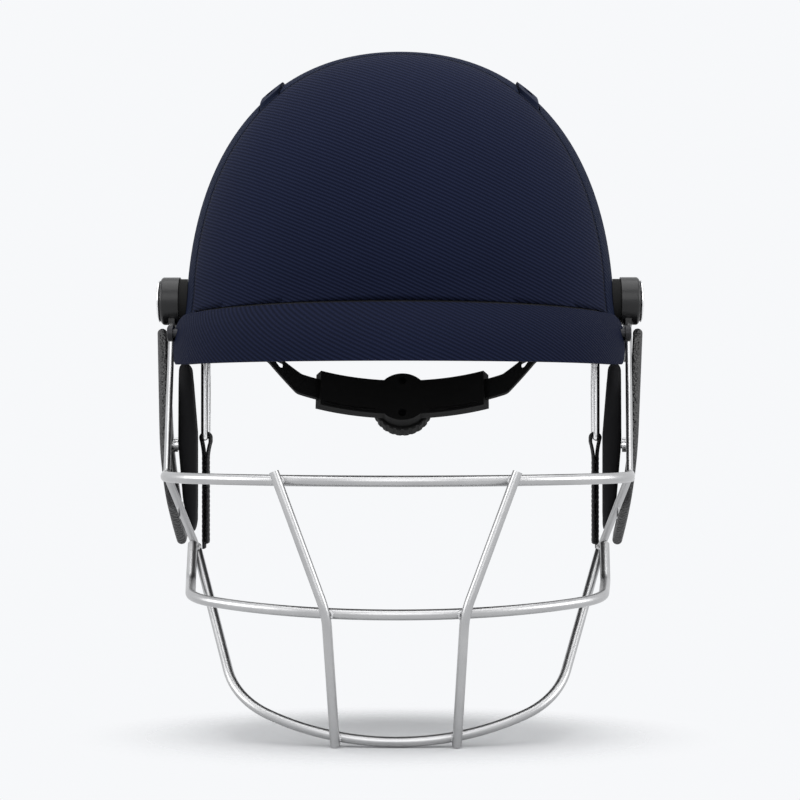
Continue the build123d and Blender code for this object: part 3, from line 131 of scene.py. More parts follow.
class Graph:
    """A material, a world or a node group, and the one way in which it gets its nodes."""

    def __init__(self, owner: bpy.types.ID) -> None:
        """Start with an empty tree.

        Args:
            owner: The material, world or node group.
        """
        self.owner = owner
        if isinstance(owner, bpy.types.NodeTree):
            self.tree = owner
        else:
            owner.use_nodes = True
            self.tree = owner.node_tree
        self.tree.nodes.clear()

    def node(self, kind: str, settings: dict | None = None, inputs: dict | None = None) -> bpy.types.Node:
        """Add one node, with its settings made before its sockets are filled.

        Args:
            kind: The node's type.
            settings: Its properties.
            inputs: Socket name or number to a value, a Channel or an output socket.

        Returns:
            The new node.
        """
        made = self.tree.nodes.new(kind)
        for key, value in (settings or {}).items():
            setattr(made, key, value)
        for key, value in (inputs or {}).items():
            source = value.socket if isinstance(value, Channel) else value
            if isinstance(source, bpy.types.NodeSocket):
                self.tree.links.new(source, made.inputs[key])
            else:
                made.inputs[key].default_value = source
        return made

    def place(self, uv_map: str | None = None) -> tuple[Channel, Channel, Channel]:
        """Coordinates in metres, of the object or of one of its UV maps.

        Args:
            uv_map: The UV map's name, or None for the object's own place.

        Returns:
            The three coordinates.
        """
        if uv_map is None:
            source = self.node("ShaderNodeTexCoord").outputs["Object"]
        else:
            source = self.node("ShaderNodeUVMap", {"uv_map": uv_map}).outputs[0]
        apart = self.node("ShaderNodeSeparateXYZ", {}, {0: source})
        return tuple(Channel(self, output) for output in apart.outputs)

    def noise(self, scale: float, detail: float = 2.0, stretch: Point = (1.0, 1.0, 1.0)) -> Channel:
        """Noise between 0 and 1 on the object's place.

        Args:
            scale: Bumps a metre.
            detail: Octaves.
            stretch: Scale along each axis.

        Returns:
            The noise.
        """
        where = self.node("ShaderNodeTexCoord").outputs["Object"]
        turned = self.node("ShaderNodeMapping", {}, {"Vector": where, "Scale": stretch})
        inputs = {"Vector": turned.outputs[0], "Scale": scale, "Detail": detail}
        return Channel(self, self.node("ShaderNodeTexNoise", {}, inputs).outputs[0])

    def bump(self, height: Channel, depth: float, strength: float = 1.0) -> bpy.types.NodeSocket:
        """Normal of a height between 0 and 1.

        Args:
            height: The height.
            depth: What a height of 1 stands for, in metres.
            strength: How much of the slope is shown.

        Returns:
            The normal.
        """
        inputs = {"Height": height, "Distance": depth, "Strength": strength}
        return self.node("ShaderNodeBump", {}, inputs).outputs[0]

    def finish(self, **sockets: object) -> bpy.types.Material:
        """Join the surface to the output.

        Args:
            sockets: The surface's sockets, with underscores for spaces.

        Returns:
            The finished material.
        """
        inputs = {key.replace("_", " "): value for key, value in sockets.items()}
        surface = self.node("ShaderNodeBsdfPrincipled", {}, inputs)
        self.node("ShaderNodeOutputMaterial", {}, {"Surface": surface.outputs[0]})
        return self.owner


# Finishes
@dataclass(frozen=True)
class Finish:
    """What every finish has: a name and the two colours that it ranges between."""

    name: str
    deep: Colour
    pale: Colour

    def start(self) -> Graph:
        """Start the finish's material."""
        return Graph(bpy.data.materials.new(self.name))

    def colour(self, graph: Graph, tone: Channel) -> bpy.types.NodeSocket:
        """Mix the two colours.

        Args:
            graph: The material under construction.
            tone: 0 for the deep colour and 1 for the pale one.

        Returns:
            The mixed colour.
        """
        inputs = {"Factor": tone, 6: (*self.deep, 1.0), 7: (*self.pale, 1.0)}
        return graph.node("ShaderNodeMix", {"data_type": "RGBA"}, inputs).outputs[2]


class Lay(Enum):
    """How a cloth's pattern lies on its piece."""

    FRONT = "straight across the brow"
    CROWN = "from the brow to the nape"
    SIDE = "up a side"
    ROUND_HEAD = "round the helmet's axis"


@dataclass(frozen=True)
class RibbedTwill(Finish):
    """Navy cloth with fine slanting ribs and, where panels meet, a sunk seam whose crease is darkened with
    painted shade.
    """

    slope: float = 24.0
    lay: Lay = Lay.FRONT
    seams: tuple[float, ...] = ()
    pitch: float = 0.0015
    relief: float = 0.00022
    even: float = 0.8
    girth_radius: float = 0.13
    fold_core: float = 0.0004
    fold_reach: float = 0.0032
    fold_depth: float = 2.6
    # painted shade: how much darker the cloth's colour is made in a seam's crease
    fold_painted_shade: float = 0.35
    drift: float = 0.0006
    thread_share: float = 0.55

    def build(self) -> bpy.types.Material:
        """Make the cloth's material.

        Returns:
            The material.
        """
        graph = self.start()
        x, y, z = graph.place()
        along, up = {
            Lay.FRONT: lambda: (x, z),
            Lay.CROWN: lambda: (x, (y - z) * self.even),
            Lay.SIDE: lambda: (y, (z - x.absolute()) * self.even),
            Lay.ROUND_HEAD: lambda: (x.math("ARCTAN2", HELMET_Y - y) * self.girth_radius, z),
        }[self.lay]()
        lean = math.radians(self.slope)
        across = along * math.sin(lean) + up * math.cos(lean)
        run = along * math.cos(lean) - up * math.sin(lean)
        drift = graph.noise(60.0, 2.0) * self.drift
        ribs = ((across + drift) * (TURN / self.pitch)).wave()
        threads = (run * (TURN / (self.pitch * self.thread_share))).wave()
        weave = ribs * 0.72 + threads * ribs * 0.28
        fuzz = graph.noise(1400.0, 3.0)
        height = weave * 0.8 + fuzz * 0.35
        tone = weave * 0.70 + graph.noise(22.0, 3.0) * 0.20 + fuzz * 0.15
        for seam in self.seams:
            fold = (y - seam).absolute().fade(self.fold_core, self.fold_reach)
            height = height - fold * self.fold_depth
            # painted shade: the colour is darkened along the seam's sunk crease
            tone = tone - fold * self.fold_painted_shade
        return graph.finish(
            Base_Color=self.colour(graph, tone),
            Roughness=0.86 - weave * 0.08,
            Normal=graph.bump(height, self.relief),
            Specular_IOR_Level=0.06,
        )


@dataclass(frozen=True)
class PlainCloth(Finish):
    """Plain close weave for linings, edges and faced foam."""

    count: float = 900.0

    def build(self) -> bpy.types.Material:
        """Make the cloth's material.

        Returns:
            The material.
        """
        graph = self.start()
        x, y, z = graph.place()
        step = TURN * self.count
        weave = ((x + y) * step).wave() * ((z + y * 0.35) * step).wave()
        cloud = graph.noise(45.0, 3.0)
        return graph.finish(
            Base_Color=self.colour(graph, weave * 0.5 + cloud * 0.5),
            Roughness=0.9 - weave * 0.06,
            Normal=graph.bump(weave + cloud * 0.5, 0.00018),
            Sheen_Weight=0.02,
            Specular_IOR_Level=0.10,
        )


@dataclass(frozen=True)
class Webbing(Finish):
    """Woven strap with a ribbed face, on the strap's own map."""

    row_pitch: float = 0.0016
    cord_pitch: float = 0.0011
    slant: float = 900.0

    def build(self) -> bpy.types.Material:
        """Make the webbing's material.

        Returns:
            The material.
        """
        graph = self.start()
        along, across, _ = graph.place("cloth")
        rows = (along * (TURN / self.row_pitch)).wave()
        cords = (across * (TURN / self.cord_pitch) + along * self.slant).wave()
        weave = rows * 0.6 + cords * 0.4
        fuzz = graph.noise(1800.0, 2.0)
        return graph.finish(
            Base_Color=self.colour(graph, weave * 0.7 + fuzz * 0.3),
            Roughness=0.82 - weave * 0.1,
            Normal=graph.bump(weave + fuzz * 0.3, 0.00025),
            Sheen_Weight=0.03,
            Specular_IOR_Level=0.15,
        )


@dataclass(frozen=True)
class Moulded(Finish):
    """Moulded plastic or rubber with a fine grain."""

    rough: float = 0.5
    grain: float = 1500.0
    relief: float = 0.00004
    coat: float = 0.0
    shine: float = 0.5

    def build(self) -> bpy.types.Material:
        """Make the plastic's material.

        Returns:
            The material.
        """
        graph = self.start()
        grain = graph.noise(self.grain, 3.0)
        cloud = graph.noise(30.0, 3.0)
        return graph.finish(
            Base_Color=self.colour(graph, cloud * 0.7 + grain * 0.3),
            Roughness=self.rough - 0.05 + cloud * 0.1,
            Normal=graph.bump(grain, self.relief),
            Coat_Weight=self.coat,
            Coat_Roughness=0.12,
            Specular_IOR_Level=self.shine,
        )


@dataclass(frozen=True)
class Pebbled(Finish):
    """Matt plastic moulded with a pebble grain."""

    size: float = 0.0011

    def build(self) -> bpy.types.Material:
        """Make the pebbled plastic's material.

        Returns:
            The material.
        """
        graph = self.start()
        where = graph.node("ShaderNodeTexCoord").outputs["Object"]
        inputs = {"Vector": where, "Scale": 1.0 / self.size, "Smoothness": 0.35}
        cells = graph.node("ShaderNodeTexVoronoi", {"feature": "SMOOTH_F1"}, inputs)
        pebble = 1.0 - Channel(graph, cells.outputs["Distance"])
        return graph.finish(
            Base_Color=self.colour(graph, pebble * 0.5 + graph.noise(35.0, 3.0) * 0.5),
            Roughness=0.40 - pebble * 0.12,
            Normal=graph.bump(pebble, 0.0005),
            Specular_IOR_Level=0.5,
        )


@dataclass(frozen=True)
class DrawnSteel(Finish):
    """Bright drawn steel wire with a soft polish."""

    rough: float = 0.28

    def build(self) -> bpy.types.Material:
        """Make the steel's material.

        Returns:
            The material.
        """
        graph = self.start()
        grain = graph.noise(2400.0, 2.0)
        cloud = graph.noise(70.0, 3.0)
        return graph.finish(
            Base_Color=self.colour(graph, cloud * 0.7 + grain * 0.3),
            Metallic=1.0,
            Roughness=self.rough + cloud * 0.12,
            Normal=graph.bump(grain * 0.5 + cloud, 0.00005, 0.6),
        )


@dataclass(frozen=True)
class PolishedMetal(Finish):
    """Bright plated steel with faint handling marks."""

    rough: float = 0.12

    def build(self) -> bpy.types.Material:
        """Make the metal's material.

        Returns:
            The material.
        """
        graph = self.start()
        marks = graph.noise(900.0, 4.0, (1.0, 0.15, 1.0))
        return graph.finish(
            Base_Color=self.colour(graph, graph.noise(120.0, 2.0) * 0.6 + marks * 0.4),
            Metallic=1.0,
            Roughness=self.rough + marks * 0.08,
            Normal=graph.bump(marks, 0.00002),
        )


@dataclass(frozen=True)
class FoamSkin(Finish):
    """Closed-cell foam with a soft skin."""

    def build(self) -> bpy.types.Material:
        """Make the foam's material.

        Returns:
            The material.
        """
        graph = self.start()
        cells = graph.noise(2600.0, 3.0)
        return graph.finish(
            Base_Color=self.colour(graph, cells * 0.5 + graph.noise(60.0, 3.0) * 0.5),
            Roughness=0.78 + cells * 0.1,
            Normal=graph.bump(cells, 0.00012),
            Sheen_Weight=0.02,
            Specular_IOR_Level=0.2,
        )


# The helmet's form
@dataclass(frozen=True)
class HelmetForm:
    """The dome: a profile that is turned and drawn out to an oval."""

    half_width: float = 0.1015
    half_length: float = 0.124
    crown_rise: float = 0.1335
    widest_z: float = 0.030
    centre_y: float = HELMET_Y
    power: float = 2.33
    skirt_top_share: float = 0.2
    skirt_shares: tuple[tuple[float, float], ...] = ((1.030, -0.047), (1.004, 0.07))
    rim: tuple[tuple[float, float], ...] = (
        (-0.122, 0.0370),
        (-0.0515, 0.0265),
        (0.013, 0.0252),
        (0.146, 0.0256),
    )

    def reach(self, rise: float) -> float:
        """How far out the form is at a height.

        Args:
            rise: Share of the full rise above the widest level.

        Returns:
            Share of the full width and length.
        """
        if rise > self.skirt_top_share:
            return max(0.0, 1.0 - rise**self.power) ** (1.0 / self.power)
        (low_reach, low), (high_reach, high) = self.skirt_shares
        top = (1.0 - self.skirt_top_share**self.power) ** (1.0 / self.power)
        fit = np.polyfit([low, high, self.skirt_top_share], [low_reach, high_reach, top], 2)
        return float(np.polyval(fit, rise))

    def rim_z(self, y: float) -> float:
        """Height of the rim at y."""
        return float(np.polyval(np.polyfit([p[0] for p in self.rim], [p[1] for p in self.rim], 3), y))

    def point(self, azimuth: float, rise: float, inset: float = 0.0) -> Vector:
        """A point of the form.

        Args:
            azimuth: Angle round the axis from +X, in radians.
            rise: Share of the full rise above the widest level.
            inset: How far inside the outer face.

        Returns:
            The point.
        """
        r = self.reach(rise)
        return Vector(
            (
                r * math.cos(azimuth) * (self.half_width - inset),
                self.centre_y + r * math.sin(azimuth) * (self.half_length - inset),
                self.widest_z + rise * (self.crown_rise - inset),
            )
        )

    def over(self, x: float, y: float, inset: float) -> float:
        """Height of the form above a point of the plan.

        Args:
            x: The point's x.
            y: The point's y.
            inset: How far inside the outer face.

        Returns:
            The height.
        """
        along = (y - self.centre_y) / (self.half_length - inset)
        across = math.hypot(x / (self.half_width - inset), along)
        rise = max(0.0, 1.0 - across**self.power) ** (1.0 / self.power)
        return self.widest_z + rise * (self.crown_rise - inset)

    def before(self, x: float, z: float, inset: float) -> float:
        """Distance of the form's front or rear from its centre.

        Args:
            x: Place across.
            z: Height.
            inset: How far inside the outer face.

        Returns:
            The distance.
        """
        r = self.reach((z - self.widest_z) / (self.crown_rise - inset))
        across = x / (self.half_width - inset)
        return (self.half_length - inset) * math.sqrt(max(0.0, r * r - across * across))

    def beside(self, y: float, z: float, inset: float) -> float:
        """Distance of the form's side from its middle plane.

        Args:
            y: Place along.
            z: Height.
            inset: How far inside the outer face.

        Returns:
            The distance.
        """
        r = self.reach((z - self.widest_z) / (self.crown_rise - inset))
        along = (y - self.centre_y) / (self.half_length - inset)
        return (self.half_width - inset) * math.sqrt(max(0.0, r * r - along * along))


# Mesh tools
class Maker:
    """Turns point lists into pieces."""

    @staticmethod
    def piece(
        name: str, mesh: bmesh.types.BMesh, finish: bpy.types.Material, smooth: bool = True
    ) -> bpy.types.Object:
        """Make an object of a finished mesh.

        Args:
            name: The object's name.
            mesh: Its mesh, which is used up.
            finish: Its material.
            smooth: True for smooth shading.

        Returns:
            The object.
        """
        data = bpy.data.meshes.new(name)
        mesh.normal_update()
        mesh.to_mesh(data)
        mesh.free()
        data.materials.append(finish)
        data.polygons.foreach_set("use_smooth", [smooth] * len(data.polygons))
        made = bpy.data.objects.new(name, data)
        bpy.context.collection.objects.link(made)
        return made

    @staticmethod
    def skin(
        mesh: bmesh.types.BMesh, rows: list[list[Vector]], closed_round: bool = False
    ) -> list[list[bmesh.types.BMVert]]:
        """Add a grid of quads through rows of points.

        Args:
            mesh: The mesh that gets them.
            rows: Rows of points, all of one length.
            closed_round: True where a row's last point joins its first.

        Returns:
            The new vertices, row by row.
        """
        verts = [[mesh.verts.new(p) for p in row] for row in rows]
        count = len(rows[0])
        for a, b in zip(verts, verts[1:]):
            for j in range(count if closed_round else count - 1):
                mesh.faces.new((a[j], a[(j + 1) % count], b[(j + 1) % count], b[j]))
        return verts

    @staticmethod
    def outward(mesh: bmesh.types.BMesh) -> None:
        """Merge doubles and turn every face outwards."""
        bmesh.ops.remove_doubles(mesh, verts=mesh.verts, dist=1e-6)
        bmesh.ops.recalc_face_normals(mesh, faces=mesh.faces)

    @staticmethod
    def fit(made: bpy.types.Object, body: str, slot: str, node: str | None = None) -> None:
        """Put a finished piece on its body.

        Args:
            made: The piece.
            body: The body that it rides on.
            slot: Its material slot, which is not used.
            node: The CAD node that it replaces, if any.
        """
        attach(made, body)
        if node:
            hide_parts(node)
        log.info("piece %s", made.name)

    @staticmethod
    def dress(nodes: list[str], finish: bpy.types.Material) -> None:
        """Give CAD nodes a finish.

        Args:
            nodes: The nodes' names.
            finish: The material.
        """
        for name in nodes:
            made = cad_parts[name]
            made.data.materials.clear()
            made.data.materials.append(finish)
            log.info("dressed %s", name)


def both(name: str) -> list[str]:
    """A name for the left and for the right."""
    return [f"{name}_{side}" for side, _ in SIDES]


# Camera, light and floor
@dataclass
class Studio:
    """Pale floor, plain soft light and the photograph's camera."""

    camera_place: Point = (0.012, -1.0, 0.0)
    lens: float = 95.4
    sensor: float = 36.0
    clip: tuple[float, float] = (0.05, 100.0)
    floor_z: float = -0.1419
    pale: Colour = (0.93, 0.94, 0.957)
    floor_paint: Colour = (0.66, 0.665, 0.675)
    floor_y: float = -0.105
    floor_half: float = 0.6
    floor_rough: float = 0.9
    floor_fade: tuple[float, float] = (0.03, 0.09)
    floor_spread: float = 0.4
    sky: Colour = (0.96, 0.98, 1.0)
    sky_strength: float = 0.55
    boxes: tuple[tuple[str, Point, float, float], ...] = (
        ("top_box", (0.0, -0.15, 1.3), 1.5, 13.0),
        ("left_box", (-1.3, -0.5, 0.5), 0.9, 8.0),
        ("right_box", (1.3, -0.5, 0.5), 0.9, 8.0),
        ("front_box", (0.0, -1.6, 0.7), 1.0, 6.0),
    )

    def build(self) -> None:
        """Set the camera, the light and the floor."""
        scene = bpy.context.scene
        scene.view_settings.view_transform = "Standard"
        self.set_camera(scene)
        self.set_world(scene)
        self.set_lamps()
        self.set_floor()

    def set_camera(self, scene: bpy.types.Scene) -> None:
        """Place the camera.

        Args:
            scene: The scene that looks through it.
        """
        data = bpy.data.cameras.new("camera")
        data.lens = self.lens
        data.sensor_width = self.sensor
        data.clip_start, data.clip_end = self.clip
        scene.camera = self.hang("camera", data, self.camera_place)

    def set_world(self, scene: bpy.types.Scene) -> None:
        """Light the scene all round, with a pale ground for the camera.

        Args:
            scene: The scene.
        """
        world = Graph(bpy.data.worlds.new("world"))
        scene.world = world.owner
        path = world.node("ShaderNodeLightPath").outputs
        seen = world.node("ShaderNodeBackground", {}, {"Color": (*self.pale, 1.0)})
        inputs = {"Color": (*self.sky, 1.0), "Strength": self.sky_strength}
        light = world.node("ShaderNodeBackground", {}, inputs)
        direct = Channel(world, path["Is Camera Ray"]).math("MAXIMUM", Channel(world, path["Is Glossy Ray"]))
        direct = direct.math("MAXIMUM", Channel(world, path["Is Transmission Ray"]))
        mix = world.node("ShaderNodeMixShader", {}, {0: direct, 1: light.outputs[0], 2: seen.outputs[0]})
        world.node("ShaderNodeOutputWorld", {}, {"Surface": mix.outputs[0]})

    def set_lamps(self) -> None:
        """Hang the soft boxes."""
        for name, place, size, power in self.boxes:
            data = bpy.data.lights.new(name, "AREA")
            data.size = size
            data.energy = power
            self.hang(name, data, place)

    @staticmethod
    def hang(name: str, data: bpy.types.ID, place: Point) -> bpy.types.Object:
        """Place a camera or lamp and turn it to the origin.

        Args:
            name: Its name.
            data: The camera's or lamp's data.
            place: Where it goes.

        Returns:
            The object.
        """
        made = bpy.data.objects.new(name, data)
        made.location = place
        made.rotation_euler = (-made.location).to_track_quat("-Z", "Y").to_euler()
        bpy.context.collection.objects.link(made)
        return made

    def set_floor(self) -> None:
        """Lay the pale floor, which fades into the backdrop away from the helmet."""
        mesh = bmesh.new()
        bmesh.ops.create_grid(mesh, x_segments=2, y_segments=2, size=self.floor_half)
        for vert in mesh.verts:
            vert.co.z = self.floor_z
        graph = Graph(bpy.data.materials.new("floor_paint"))
        x, y, _ = graph.place()
        far = (x * x * self.floor_spread + (y - self.floor_y) * (y - self.floor_y)).math("SQRT")
        paint = graph.finish(
            Base_Color=(*self.floor_paint, 1.0),
            Roughness=self.floor_rough,
            Specular_IOR_Level=0.0,
            Alpha=far.fade(*self.floor_fade),
        )
        Maker.piece("floor", mesh, paint)


# Covers
@dataclass
class Covers:
    """Cloth panels stretched over the shell."""

    form: HelmetForm
    cloth: dict[str, bpy.types.Material]
    wall: float = 0.001
    round_steps: int = 300
    rise_steps: int = 90
    crowding: float = 0.9
    rim_rounds: int = 6
    bend_steps: int = 8
    front_seam: float = -0.034
    crown_seam: float = 0.055
    rail_width: float = 0.009
    rail_front: float = -0.030
    rail_rear: float = 0.084
    gap: float = 0.0005
    far: float = 0.3
    peak_far: float = 0.17
    peak_corner: float = 0.0055
    drape: float = 1.25
    least_flat: float = 0.05
    seam_allowance: float = 1.15
    seam_front_z: float = 0.0432
    seam_side_z: float = 0.0394
    peak_rear: float = -0.033
    peak_lean: float = 0.017
    peak_low: float = 0.0158

    def build(self) -> None:
        """Make the four panels in place of the plain ones."""
        dome, zone = self.dome(), self.zone()
        gap, far = self.gap, self.far
        front = self.box("front_block", (-far, -far, 0.0), (far, self.front_seam, far))
        rear = self.box("rear_block", (-far, self.front_seam + gap, 0.0), (far, far, far))
        high = self.crown_seam - gap
        crown = self.box("crown_block", (-high, -far, 0.0), (high, far, far))
        cuts = {
            "cover_front": [("INTERSECT", front)],
            "cover_crown": [("INTERSECT", rear), ("INTERSECT", crown)],
        }
        tools = [dome, zone, front, rear, crown]
        for side, sign in SIDES:
            low, high = sorted((sign * self.crown_seam, sign * far))
            block = self.box(f"side_block_{side}", (low, -far, 0.0), (high, far, far))
            outside = self.crown_seam + self.rail_width + gap
            low, high = sorted((sign * (self.crown_seam - gap), sign * outside))
            ends = (self.rail_front - gap, self.rail_rear + gap)
            strip = self.box(f"rail_block_{side}", (low, ends[0], 0.0), (high, ends[1], far))
            tools += [block, strip]
            cuts[f"cover_side_{side}"] = [("INTERSECT", rear), ("INTERSECT", block), ("DIFFERENCE", strip)]
        for name, steps in cuts.items():
            panel = self.cut(f"{name}_cloth", dome, [("DIFFERENCE", zone), *steps])
            kind = name.split("_")[1]
            panel.data.materials.clear()
            panel.data.materials.append(self.cloth[kind])
            Maker.fit(panel, "helmet", "fabric_front" if kind == "front" else "fabric_sides", name)
            area = sum(face.area for face in panel.data.polygons) / 2.0
            across = [vert.co.x for vert in panel.data.vertices]
            width = max(self.least_flat, (max(across) - min(across)) * self.drape)
            flat = (width, area / width * self.seam_allowance)
        for tool in tools:
            bpy.data.objects.remove(tool, do_unlink=True)

    def dome(self) -> bpy.types.Object:
        """A closed skin of the whole dome above the rim.

        Returns:
            The skin.
        """
        mesh = bmesh.new()
        edges = []
        for inset in (0.0, self.wall):
            rows = [[] for _ in range(self.rise_steps)]
            for j in range(self.round_steps):
                azimuth = TURN * j / self.round_steps
                rise = 0.0
                for _ in range(self.rim_rounds):
                    y = self.form.point(azimuth, rise, inset).y
                    rise = (self.form.rim_z(y) - self.form.widest_z) / (self.form.crown_rise - inset)
                start = math.asin(max(-1.0, min(1.0, rise)))
                for i, row in enumerate(rows):
                    turn = start + (math.pi / 2 - start) * (i / self.rise_steps) ** self.crowding
                    row.append(self.form.point(azimuth, math.sin(turn), inset))
            verts = Maker.skin(mesh, rows, closed_round=True)
            pole = mesh.verts.new(self.form.point(0.0, 1.0, inset))
            for j in range(self.round_steps):
                mesh.faces.new((verts[-1][j], verts[-1][(j + 1) % self.round_steps], pole))
            edges.append(verts[0])
        outer, inner = edges
        for j in range(self.round_steps):
            k = (j + 1) % self.round_steps
            mesh.faces.new((outer[j], outer[k], inner[k], inner[j]))
        bmesh.ops.recalc_face_normals(mesh, faces=mesh.faces)
        return Maker.piece("dome_tool", mesh, self.cloth["side"])

    def zone(self) -> bpy.types.Object:
        """The room that the peak takes, as a block cut to its side view.

        Returns:
            The block.
        """
        high = Vector((0, self.peak_rear + self.gap, self.seam_side_z + self.gap))
        low = Vector((0, self.peak_rear - self.peak_lean + self.gap, self.peak_low - self.gap))
        brow = Vector((0, -self.peak_far, self.seam_front_z + self.gap))
        toward_front = (brow - high).normalized()
        toward_low = (low - high).normalized()
        reach = self.peak_corner / math.tan(toward_front.angle(toward_low) / 2)
        start, end = high + toward_front * reach, high + toward_low * reach
        shares = [i / self.bend_steps for i in range(self.bend_steps + 1)]
        bend = [start.lerp(high, share).lerp(high.lerp(end, share), share) for share in shares]
        foot = Vector((0, -self.peak_far, self.peak_low - self.gap))
        return self.prism("peak_zone_tool", [brow, *bend, low, foot], self.far)

    @staticmethod
    def prism(name: str, outline: list[Vector], half: float) -> bpy.types.Object:
        """A block with an outline in the side view.

        Args:
            name: The block's name.
            outline: Points whose x is ignored.
            half: How far it goes to each side.

        Returns:
            The block.
        """
        mesh = bmesh.new()
        left = [mesh.verts.new((-half, p.y, p.z)) for p in outline]
        right = [mesh.verts.new((half, p.y, p.z)) for p in outline]
        mesh.faces.new(left)
        mesh.faces.new(list(reversed(right)))
        for i in range(len(outline)):
            j = (i + 1) % len(outline)
            mesh.faces.new((left[i], right[i], right[j], left[j]))
        bmesh.ops.recalc_face_normals(mesh, faces=mesh.faces)
        return Maker.piece(name, mesh, bpy.data.materials[0], False)

    def box(self, name: str, low: Point, high: Point) -> bpy.types.Object:
        """A plain cutting block between two corners.

        Args:
            name: The block's name.
            low: Lowest corner.
            high: Highest corner.

        Returns:
            The block.
        """
        mesh = bmesh.new()
        bmesh.ops.create_cube(mesh, size=1.0)
        for vert in mesh.verts:
            for axis in range(3):
                vert.co[axis] = high[axis] if vert.co[axis] > 0 else low[axis]
        return Maker.piece(name, mesh, bpy.data.materials[0], False)

    @staticmethod
    def cut(
        name: str, source: bpy.types.Object, steps: list[tuple[str, bpy.types.Object]]
    ) -> bpy.types.Object:
        """Cut a copy of a piece with a row of blocks.

        Args:
            name: The new piece's name.
            source: The piece that is copied.
            steps: Operation and block, in order.

        Returns:
            The cut piece.
        """
        made = source.copy()
        made.data = source.data.copy()
        made.name = name
        bpy.context.collection.objects.link(made)
        for operation, block in steps:
            modifier = made.modifiers.new(operation.lower(), "BOOLEAN")
            modifier.operation = operation
            modifier.object = block
            modifier.solver = "EXACT"
        bpy.context.view_layer.update()
        done = made.evaluated_get(bpy.context.evaluated_depsgraph_get())
        data = bpy.data.meshes.new_from_object(done)
        made.modifiers.clear()
        made.data = data
        data.name = name
        return made


